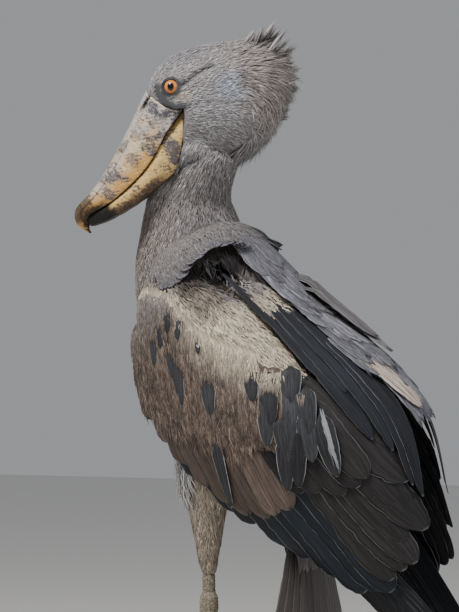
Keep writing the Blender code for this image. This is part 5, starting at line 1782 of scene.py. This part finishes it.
# %% Eyes and lids
EYE_LOOK = (0.12, 0.07, 0.99)
IRIS_RADIUS = 0.0108
LID_RADIUS = 0.0124
BLACK = (0.012, 0.012, 0.014)
# Rings of lid skin: name, how much wider, thickness, how far forward and the colour of the lower lid.
LIDS = (
    ("lid", -0.0004, 0.0014, 0.0084, (0.04, 0.048, 0.06)), ("lid_rim", 0.0016, 0.0022, 0.0064, SLATE),
)


def eye_axes(side):
    """Centre, facing, ahead and upward directions of one eye."""
    centre = head_place(*EYE_AT[:2], EYE_AT[2] * side)
    facing = AHEAD * EYE_LOOK[0] + CROWN * EYE_LOOK[1] + LEFT * EYE_LOOK[2] * side
    facing = unit(facing)
    upward = unit(UP - facing * (UP @ facing))
    return centre, facing, np.cross(upward, facing), upward


def eye_ball(name, side):
    centre, facing, ahead, upward = eye_axes(side)
    bm = bmesh.new()
    bmesh.ops.create_uvsphere(bm, u_segments=64, v_segments=48, radius=EYE_RADIUS)
    turn = Matrix((ahead, upward, facing)).transposed().to_4x4()
    layer = bm.loops.layers.uv.new("Iris")
    for face in bm.faces:
        for loop in face.loops:
            x, y, z = loop.vert.co
            size = math.hypot(x, y)
            grow = 1.0 if z > 0 else (2 * EYE_RADIUS - size) / max(size, 1e-5)
            loop[layer].uv = [0.5 + value * grow / IRIS_RADIUS * 0.25 for value in (x, y)]
    for vert in bm.verts:
        x, y, z = vert.co
        if z > 0:
            vert.co.z += 0.0013 * max(0.0, 1 - (math.hypot(x, y) / IRIS_RADIUS) ** 2)
    bmesh.ops.transform(bm, matrix=turn, verts=bm.verts)
    bmesh.ops.translate(bm, verts=bm.verts, vec=Vector(centre + SHIFT))
    return to_object(name, bm)


def lid_ring(name, side, radius, thick, forward, tone_up, tone_down):
    """One ring of bare skin: a small circle spun round the line of sight."""
    centre, facing, ahead, upward = eye_axes(side)
    middle = centre + facing * forward
    bm = bmesh.new()
    made = bmesh.ops.create_circle(bm, segments=14, radius=thick)
    turn = Matrix((upward, facing, ahead)).transposed().to_4x4()
    bmesh.ops.transform(bm, matrix=turn, verts=made["verts"])
    bmesh.ops.translate(bm, verts=made["verts"], vec=Vector(middle + upward * radius))
    edges = list({edge for vert in made["verts"] for edge in vert.link_edges})
    bmesh.ops.spin(
        bm, geom=made["verts"] + edges, cent=Vector(middle), axis=Vector(facing), angle=math.tau,
        steps=56, use_merge=True,
    )
    bmesh.ops.remove_doubles(bm, verts=bm.verts, dist=1e-6)
    ring = to_object(name, bm)
    away = unit(read_points(ring.data) - middle)
    high = ease(-0.3, 0.3, away @ upward)[:, None]
    paint(ring.data, np.array(tone_down) * (1 - high) + np.array(tone_up) * high)
    ring.data.transform(Matrix.Translation(SHIFT))
    return ring


eyes, lids = [], []
for side_name, side in SIDES.items():
    eyes.append(eye_ball(f"eyeball_{side_name}", side))
    for name, wider, thick, forward, low_tone in LIDS:
        radius = LID_RADIUS + wider
        lids.append(lid_ring(f"{name}_{side_name}", side, radius, thick, forward, BLACK, low_tone))
print("eyes and lids", len(eyes), len(lids))

# %% [markdown]
# The legs are bare horny skin. Their solids already have the right shape, so copies of them are
# melted together, which rounds the joints, and then get the rows of scutes on top of the toes.

# %% Legs and claws
TOES = {
    "middle": (0.15, 0.0, 0.01),
    "inner": (0.12, 24.0, 0.0092),
    "outer": (0.126, -27.0, 0.0092),
    "hind": (0.072, 170.0, 0.0085),
}
TOE_HEIGHT = 0.0085
CLAW_LENGTH = 0.019


def melted_copy(name, nodes, voxel, passes):
    """One closed mesh from copies of several solids."""
    bm = bmesh.new()
    for node in nodes:
        bm.from_mesh(frame["nodes"][node].data)
    bmesh.ops.remove_doubles(bm, verts=bm.verts, dist=1e-6)
    return melt(to_object(name, bm), voxel, passes)


def leg(side):
    nodes = ["shank_" + side] + [f"toe_{side}_{toe}" for toe in TOES]
    obj = melted_copy("leg_" + side, nodes, 0.0013, 5)
    points, normals = read_points(obj.data), read_normals(obj.data)
    foot = np.array(LEGS[side][3]) + SHIFT
    away = np.linalg.norm(points[:, :2] - foot[:2], axis=1)
    on_toe = ease(0.03, 0.02, points[:, 2]) * ease(0.012, 0.022, away)
    upward = np.clip(normals[:, 2], 0, 1)
    scutes = np.abs(np.sin(away * math.pi / 0.0058)) ** 0.5
    depth = 0.0007 * (scutes - 0.6) * on_toe * upward
    ringed = np.abs(np.sin(points[:, 2] * math.pi / 0.0075)) ** 0.5
    front = np.clip(-normals[:, 0], 0, 1)
    depth = depth + 0.0004 * (ringed - 0.6) * front * (1 - on_toe)
    depth = depth + 0.00025 * bumps(points, 0.006, 12)
    points = points + normals * depth[:, None]
    points[:, 2] = np.maximum(points[:, 2], 0.0)
    move_points(obj, points)
    tone = washes(
        plain((0.235, 0.205, 0.145), points),
        ((0.33, 0.285, 0.2), ease(-0.2, 1.2, bumps(points, 0.012, 13))),
        ((0.1, 0.088, 0.07), 0.7 * ease(0.3, 1.5, bumps(points, 0.006, 14))),
        ((0.11, 0.105, 0.095), 0.5 * on_toe),
    )
    paint(obj.data, tone)
    return obj


def claw(side, toe):
    """A curved claw that leaves the end of its toe and comes down to the floor."""
    length, splay, radius = TOES[toe]
    mirror = SIDES[side]
    ahead = Vector((-1.0, -0.1 * mirror, 0.0)).normalized()
    along = np.array(Matrix.Rotation(math.radians(splay) * mirror, 3, "Z") @ ahead)
    across = np.cross(UP, along)
    start = np.array(LEGS[side][3]) + SHIFT + along * (0.0045 + length)
    a = circle(18)[:, None]
    rings = []
    for share in np.linspace(0, 1, 14):
        thick = (0.62 * (1 - share**1.5) + 0.05) * radius
        centre = start + along * share * CLAW_LENGTH
        height = TOE_HEIGHT * 0.8 * (1 - 0.8 * share**1.6)
        ring = centre + across * np.cos(a) * thick * 0.7
        ring[:, 2] = np.maximum(height + np.sin(a)[:, 0] * thick, 0.0)
        rings.append(ring)
    bm = bmesh.new()
    loft(bm, rings)
    return to_object(f"claw_{side}_{toe}_horn", bm)


legs = {side: leg(side) for side in SIDES}
claws = {(side, toe): claw(side, toe) for side in SIDES for toe in TOES}
print("legs", [len(obj.data.vertices) for obj in legs.values()], "claws", len(claws))

# %% [markdown]
# Every material starts from the colour stored on the mesh and adds what is too fine to model. Two
# effects are used by many materials, so they are node groups with named sockets: one draws barbs,
# shaft and rim on a feather's own map, and one breaks up any colour with noise.

# %% Node groups


def new_group(name, inputs, outputs):
    """A shader node group with its sockets, and its input and output nodes."""
    group = bpy.data.node_groups.new(name, "ShaderNodeTree")
    for title, value in inputs.items():
        kind = "NodeSocketFloat" if isinstance(value, float) else "NodeSocketVector"
        socket = group.interface.new_socket(name=title, in_out="INPUT", socket_type=kind)
        socket.default_value = value
    for title in outputs:
        group.interface.new_socket(name=title, in_out="OUTPUT", socket_type="NodeSocketFloat")
    return group, group.nodes.new("NodeGroupInput"), group.nodes.new("NodeGroupOutput")


class Nodes:
    """Short ways to add and join nodes in one tree."""

    def __init__(self, tree):
        self.tree = tree

    def add(self, kind, **values):
        node = self.tree.nodes.new("ShaderNode" + kind)
        for name, value in values.items():
            setattr(node, name, value)
        return node

    def feed(self, socket, value):
        if isinstance(value, bpy.types.NodeSocket):
            self.tree.links.new(value, socket)
        else:
            socket.default_value = value

    def make(self, kind, sockets, **values):
        """Adds a node, feeds its named sockets and gives its outputs."""
        node = self.add(kind, **values)
        for name, value in sockets.items():
            self.feed(node.inputs[name], value)
        return node.outputs

    def math(self, operation, a, b=0.0, c=0.5, clamp=False):
        return self.make("Math", {0: a, 1: b, 2: c}, operation=operation, use_clamp=clamp)[0]

    def times(self, a, b, clamp=False):
        return self.math("MULTIPLY", a, b, clamp=clamp)

    def plus(self, a, b):
        return self.math("ADD", a, b)

    def line(self, value, slope, start):
        return self.plus(self.times(value, slope), start)

    def mix(self, factor, a, b, blend="MIX"):
        sockets = {"Factor": factor, "A": a, "B": b}
        return self.make("Mix", sockets, data_type="RGBA", blend_type=blend)["Result"]

    def step(self, value, low, high):
        sockets = {"Value": value, "From Min": low, "From Max": high}
        return self.make("MapRange", sockets, interpolation_type="SMOOTHSTEP")["Result"]

    def noise(self, vector, scale, detail=3.0, rough=0.55):
        sockets = {"Vector": vector, "Scale": scale, "Detail": detail, "Roughness": rough}
        return self.make("TexNoise", sockets)["Fac"]

    def group(self, tree, **values):
        sockets = {name.replace("_", " "): value for name, value in values.items()}
        return self.make("Group", sockets, node_tree=tree)


def feather_group():
    """Barbs, shaft, rim and streaks of a feather, drawn on its own map."""
    outputs = ("Barb", "Shaft", "Rim", "Height", "Along", "Streak")
    inputs = {"Barbs": 60.0, "Slant": 1.2, "Rim Width": 0.05}
    group, start, end = new_group("Feather pattern", inputs, outputs)
    n = Nodes(group)
    uv = n.add("UVMap", uv_map="Vane").outputs[0]
    parts = n.make("SeparateXYZ", {0: uv})
    along = parts["Y"]
    off = n.times(n.math("ABSOLUTE", n.math("SUBTRACT", parts["X"], 0.5)), 2.0)
    slanted = n.math("SUBTRACT", along, n.times(off, n.times(start.outputs["Slant"], 0.1)))
    wave = n.math("SINE", n.times(slanted, n.times(start.outputs["Barbs"], 6.2832)))
    barb = n.times(n.plus(wave, 1.0), 0.5)
    shaft = n.step(off, 0.075, 0.02)
    side_rim = n.step(off, n.math("SUBTRACT", 1.0, start.outputs["Rim Width"]), 1.0)
    tip_rim = n.step(along, 0.988, 0.998)
    side_rim = n.times(side_rim, n.step(along, 0.99, 0.93))
    rim = n.math("MAXIMUM", side_rim, n.times(tip_rim, 0.5))
    spread = n.make("Mapping", {"Vector": uv, "Scale": (16.0, 2.2, 1.0)})[0]
    moved = n.add("VectorMath", operation="MULTIPLY_ADD")
    for socket, value in zip(moved.inputs, (n.add("TexCoord").outputs["Object"], (9.0, 9.0, 9.0), spread)):
        n.feed(socket, value)
    streak = n.step(n.noise(moved.outputs[0], 1.0, 3.0, 0.6), 0.32, 0.68)
    height = n.plus(n.times(barb, 0.35), shaft)
    for name, value in zip(outputs, (barb, shaft, rim, height, along, streak)):
        n.feed(end.inputs[name], value)
    return group


def mottle_group():
    """Coarse and fine noise by the place on the bird."""
    group, start, end = new_group("Mottle", {"Scale": 40.0, "Stretch": (1.0, 1.0, 1.0)}, ("Coarse", "Fine"))
    n = Nodes(group)
    place = n.add("TexCoord").outputs["Object"]
    place = n.make("Mapping", {"Vector": place, "Scale": start.outputs["Stretch"]})[0]
    n.feed(end.inputs["Coarse"], n.noise(place, start.outputs["Scale"], 3.0))
    n.feed(end.inputs["Fine"], n.noise(place, n.times(start.outputs["Scale"], 9.0), 4.0, 0.65))
    return group


FEATHER = feather_group()
MOTTLE = mottle_group()


class Finish(Nodes):
    """The nodes of one material. They start from the colour stored on the mesh."""

    def __init__(self, name):
        self.material = bpy.data.materials.new(name)
        self.material.use_nodes = True
        super().__init__(self.material.node_tree)
        self.tone = self.add("Attribute", attribute_name="Tone").outputs["Color"]

    def shaded(self, colour, light):
        """The colour times one number."""
        grey = self.make("CombineColor", {channel: light for channel in range(3)})[0]
        return self.mix(1.0, colour, grey, "MULTIPLY")

    def done(self, colour, rough, height, strength, distance, **weights):
        """Joins colour, roughness and bumps to the shader, sets plain weights, gives the material."""
        sockets = self.tree.nodes["Principled BSDF"].inputs
        bumped = self.make("Bump", {"Height": height, "Strength": strength, "Distance": distance})[0]
        for name, value in (("Base Color", colour), ("Roughness", rough), ("Normal", bumped)):
            self.feed(sockets[name], value)
        for name, value in weights.items():
            sockets[name.replace("_", " ")].default_value = value
        return self.material


def feather_finish(
    name, barbs, slant, rim_and_gap_shade, root_dark, rough, sheen, depth=0.0004, rim_width=0.05, streaks=0.3
):
    n = Finish(name)
    pattern = n.group(FEATHER, Barbs=barbs, Slant=slant, Rim_Width=rim_width)
    mottle = n.group(MOTTLE, Scale=34.0)
    rim = n.times(pattern["Rim"], n.add("Attribute", attribute_name="Rim").outputs["Fac"], True)
    light = n.math("MULTIPLY_ADD", mottle["Fine"], 0.7, 0.65)
    light = n.times(light, n.math("MULTIPLY_ADD", pattern["Barb"], 0.16, 0.92))
    light = n.times(light, n.line(pattern["Streak"], streaks, 1.0 - 0.5 * streaks))
    light = n.times(light, n.line(n.step(pattern["Along"], 0.0, 0.35), root_dark, 1.0 - root_dark))
    colour = n.shaded(n.tone, light)
    colour = n.mix(n.times(pattern["Shaft"], 0.35), colour, (0.02, 0.018, 0.018, 1.0))
    broken = n.line(n.step(mottle["Coarse"], 0.38, 0.56), 0.7, 0.3)
    colour = n.mix(n.times(rim, broken), colour, (*rim_and_gap_shade, 1.0))
    rough = n.line(mottle["Fine"], 0.2, rough - 0.1)
    height = n.plus(pattern["Height"], n.times(mottle["Fine"], 0.6))
    weights = {"Sheen_Weight": sheen, "Sheen_Roughness": 0.5, "Specular_IOR_Level": 0.22}
    return n.done(colour, rough, height, 0.5, depth, **weights)


tuft_finish = feather_finish("Body feathers", 9.0, 2.0, (0.62, 0.6, 0.58), 0.3, 0.78, 0.12, 0.0002)
vane_finish = feather_finish("Wing feathers", 60.0, 1.3, (0.5, 0.51, 0.53), 0.25, 0.62, 0.0, streaks=0.9)
slate_finish = feather_finish(
    "Slate coverts", 40.0, 1.3, (0.6, 0.6, 0.6), 0.4, 0.62, 0.0, rim_width=0.11, streaks=0.9
)
# The brown coverts' rims are painted near black: painted shade in the gaps between the feathers.
brown_finish = feather_finish(
    "Brown coverts", 50.0, 1.3, (0.03, 0.023, 0.02), 0.45, 0.74, 0.08, rim_width=0.12, streaks=0.8
)
cape_finish = feather_finish("Mantle feathers", 50.0, 1.3, (0.36, 0.36, 0.41), 0.3, 0.72, 0.05, streaks=1.1)
tail_finish = feather_finish("Tail feathers", 60.0, 1.0, (0.5, 0.46, 0.42), 0.2, 0.65, 0.05, streaks=0.6)


def skin_nodes():
    n = Finish("Skin under the feathers")
    mottle = n.group(MOTTLE, Scale=60.0)
    colour = n.shaded(n.tone, n.line(mottle["Fine"], 0.6, 0.25))
    return n.done(colour, n.line(mottle["Coarse"], 0.2, 0.7), mottle["Fine"], 0.5, 0.0006)


def horn_nodes():
    n = Finish("Bill horn")
    mottle = n.group(MOTTLE, Scale=90.0)
    dark = n.times(n.step(mottle["Fine"], 0.56, 0.7), 0.55)
    colour = n.mix(dark, n.tone, (0.25, 0.24, 0.29, 1.0), "MULTIPLY")
    pale = n.times(n.step(mottle["Fine"], 0.44, 0.3), 0.5)
    colour = n.mix(pale, colour, (1.5, 1.5, 1.55, 1.0), "MULTIPLY")
    rough = n.line(mottle["Coarse"], 0.25, 0.42)
    return n.done(colour, rough, mottle["Fine"], 0.35, 0.0004, Specular_IOR_Level=0.2)


def leg_nodes():
    n = Finish("Leg skin")
    cells = n.add("TexVoronoi", feature="DISTANCE_TO_EDGE")
    n.feed(cells.inputs["Vector"], n.add("TexCoord").outputs["Object"])
    n.feed(cells.inputs["Scale"], 210.0)
    mottle = n.group(MOTTLE, Scale=80.0)
    edge = n.step(cells.outputs["Distance"], 0.0, 0.12)
    colour = n.mix(edge, (0.07, 0.06, 0.045, 1.0), n.tone)
    rough = n.line(mottle["Fine"], 0.3, 0.42)
    return n.done(colour, rough, n.plus(edge, n.times(mottle["Fine"], 0.4)), 0.6, 0.0005)


def lid_nodes():
    n = Finish("Bare lid skin")
    mottle = n.group(MOTTLE, Scale=150.0)
    colour = n.mix(n.times(mottle["Coarse"], 0.5), n.tone, (0.02, 0.02, 0.025, 1.0))
    return n.done(colour, n.line(mottle["Fine"], 0.3, 0.35), mottle["Fine"], 0.5, 0.0004)


def claw_nodes():
    n = Finish("Claw horn")
    mottle = n.group(MOTTLE, Scale=120.0)
    colour = n.mix(mottle["Coarse"], (0.035, 0.03, 0.026, 1.0), (0.16, 0.13, 0.1, 1.0))
    return n.done(colour, n.line(mottle["Fine"], 0.2, 0.3), mottle["Fine"], 0.3, 0.0003)


def eye_nodes():
    """Pupil, streaked orange iris and a dark ring round it, drawn on the eye's own map."""
    n = Finish("Eye")
    uv = n.add("UVMap", uv_map="Iris").outputs[0]
    place = n.make("Mapping", {"Vector": uv, "Location": (-2.0, -2.0, 0.0), "Scale": (4.0, 4.0, 1.0)})[0]
    parts = n.make("SeparateXYZ", {0: place})
    x, y = parts["X"], parts["Y"]

    def squares(*values):
        return n.plus(*(n.math("POWER", n.math("ABSOLUTE", value), 2.0) for value in values))

    far = n.math("SQRT", squares(x, y))
    oval = squares(n.math("DIVIDE", x, 0.43), n.math("DIVIDE", y, 0.55))
    angle = n.math("ARCTAN2", y, x)
    ray = n.make("CombineXYZ", {"X": n.times(angle, 9.0), "Y": n.times(far, 2.0)})[0]
    streak = n.noise(ray, 2.0, 4.0, 0.6)
    colour = n.mix(streak, (0.42, 0.12, 0.018, 1.0), (0.95, 0.42, 0.085, 1.0))
    for weight, over in (
        (n.step(far, 0.62, 0.98), (0.55, 0.16, 0.02, 1.0)),
        (n.step(oval, 1.9, 1.05), (0.3, 0.09, 0.02, 1.0)),
        (n.step(far, 0.9, 0.99), (0.012, 0.01, 0.01, 1.0)),
        (n.step(oval, 1.12, 0.9), (0.003, 0.003, 0.004, 1.0)),
    ):
        colour = n.mix(weight, colour, over)
    rough = n.line(streak, 0.1, 0.2)
    weights = {"Coat_Weight": 0.55, "Specular_IOR_Level": 0.2, "Coat_Roughness": 0.02}
    return n.done(colour, rough, streak, 0.2, 0.0002, **weights)


skin_finish, horn_finish, leg_finish = skin_nodes(), horn_nodes(), leg_nodes()
lid_finish, claw_finish, eye_finish = lid_nodes(), claw_nodes(), eye_nodes()
print("materials", len(bpy.data.materials))

# %% [markdown]
# Each piece now gets its finish and rides on the body, and the solids it stands for are hidden.

# %% Fitting the pieces to the solids
def fit(obj, finish, slot, *nodes):
    obj.data.materials.clear()
    obj.data.materials.append(finish)
    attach(obj, BODY_NAME)
    if nodes:
        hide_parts(*nodes)


HEAD_COAT = ("plumage", "head")
WING_COAT = ("wing_plumage", "wing_left", "wing_right")
THIGH_COAT = ("thigh_plumage", "thigh_left", "thigh_right")
MANTLE_COAT = ("mantle_plumage", "mantle")
COAT_PLACES = {
    "face_feathers": HEAD_COAT,
    "nape_feathers": HEAD_COAT,
    "jaw_feathers": HEAD_COAT,
    "wing_edge": WING_COAT,
    "thigh_tuft": THIGH_COAT,
    "neck_feathers": ("plumage", "neck"),
    "breast_feathers": ("plumage", "torso"),
    "thigh_feathers": THIGH_COAT,
    "wing_down": WING_COAT,
    "crest": HEAD_COAT,
    "cape_strands": MANTLE_COAT,
    "scapular_strands": MANTLE_COAT,
}

paint(skin.data, skin_tone)
skin.data.transform(Matrix.Translation(SHIFT))
fit(skin, skin_finish, "plumage", "torso", "neck", "head", "thigh_left", "thigh_right")
for name, places in COAT_PLACES.items():
    fit(coat[name], tuft_finish, *places)
for side, obj in barbs.items():
    fit(obj, tuft_finish, "wing_plumage", "wing_" + side)
WING_FINISHES = {
    **dict.fromkeys(("greater", "median", "lesser", "shoulder"), brown_finish),
    "white_down": tuft_finish,
    "slates": slate_finish,
}
for side, parts in wing_parts.items():
    for part in parts:
        finish = WING_FINISHES.get(part.name.rpartition("_")[0], vane_finish)
        fit(part, finish, "wing_plumage", "wing_" + side)
for part in mantle_parts:
    fit(part, cape_finish, "mantle_plumage", "mantle")
for part in tail_parts:
    fit(part, tail_finish, "tail_plumage", "tail")
fit(bill_upper, horn_finish, "bill_horn", "bill_upper")
fit(bill_lower, horn_finish, "bill_horn", "bill_lower")
for obj, side in zip(eyes, SIDES):
    fit(obj, eye_finish, "eye", "eye_" + side)
for obj in lids:
    fit(obj, lid_finish, "plumage", "head")
for side, obj in legs.items():
    fit(obj, leg_finish, "leg_skin", "shank_" + side, *[f"toe_{side}_{toe}" for toe in TOES])
for (side, toe), obj in claws.items():
    fit(obj, claw_finish, "claw_horn", f"claw_{side}_{toe}")

# %% [markdown]
# The camera stands where the photograph was taken from, six metres away and level with the
# breast, so the view is nearly flat. One large soft light comes from the upper left, a weak one
# fills the right, and a pale world lifts the shadows.

# %% Camera, floor and lights
PICTURE_SPAN = 0.956
CAMERA_TURN = math.radians(28)
CAMERA_AWAY = 6.0
LIT_AT = Vector((0.0, 0.0, 0.75))
target = Vector(SHIFT) + Vector((0.01307, 0.00695, 0.7328))
camera = linked("Camera", bpy.data.cameras.new("Camera"))
camera.data.sensor_fit = "VERTICAL"
camera.data.sensor_height = 36.0
camera.data.lens = 36.0 * CAMERA_AWAY / PICTURE_SPAN
camera.location = target + Vector((math.sin(CAMERA_TURN), -math.cos(CAMERA_TURN), 0.0)) * CAMERA_AWAY
camera.rotation_euler = (target - camera.location).to_track_quat("-Z", "Y").to_euler()
bpy.context.scene.camera = camera


def area_light(name, place, size, power, colour):
    data = bpy.data.lights.new(name, "AREA")
    data.size, data.energy, data.color = size, power, colour
    light = linked(name, data)
    light.location = place
    light.rotation_euler = (LIT_AT - light.location).to_track_quat("-Z", "Y").to_euler()


def around_target(turn, high, away):
    """A place by its turn from the camera's own direction, its height angle and its distance."""
    a = CAMERA_TURN + math.radians(turn)
    level = math.cos(math.radians(high)) * away
    return target + Vector((math.sin(a) * level, -math.cos(a) * level, math.sin(math.radians(high)) * away))


area_light("Key", around_target(-42, 58, 3.2), 1.0, 150.0, (1.0, 0.965, 0.92))
area_light("Fill", around_target(55, 18, 3.4), 2.4, 26.0, (0.93, 0.96, 1.0))

world = bpy.data.worlds.new("Studio")
world.use_nodes = True
sky = world.node_tree.nodes["Background"].inputs
sky["Color"].default_value, sky["Strength"].default_value = (0.9, 0.92, 0.95, 1.0), 0.36
bpy.context.scene.world = world

bm = bmesh.new()
bmesh.ops.create_grid(bm, x_segments=1, y_segments=1, size=9.0)
floor = to_object("floor", bm, smooth=False)
floor_paint = bpy.data.materials.new("Pale floor")
floor_paint.use_nodes = True
floor_inputs = floor_paint.node_tree.nodes["Principled BSDF"].inputs
floor_inputs["Base Color"].default_value = (0.74, 0.73, 0.71, 1.0)
floor_inputs["Roughness"].default_value = 0.8
floor.data.materials.append(floor_paint)
floor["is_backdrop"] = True

# %% Sizes, and the end
visual_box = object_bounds()
sizes = {name: [list(corner) for corner in box] for name, box in (("cad", cad_box), ("visual", visual_box))}
print("sizes", sizes)
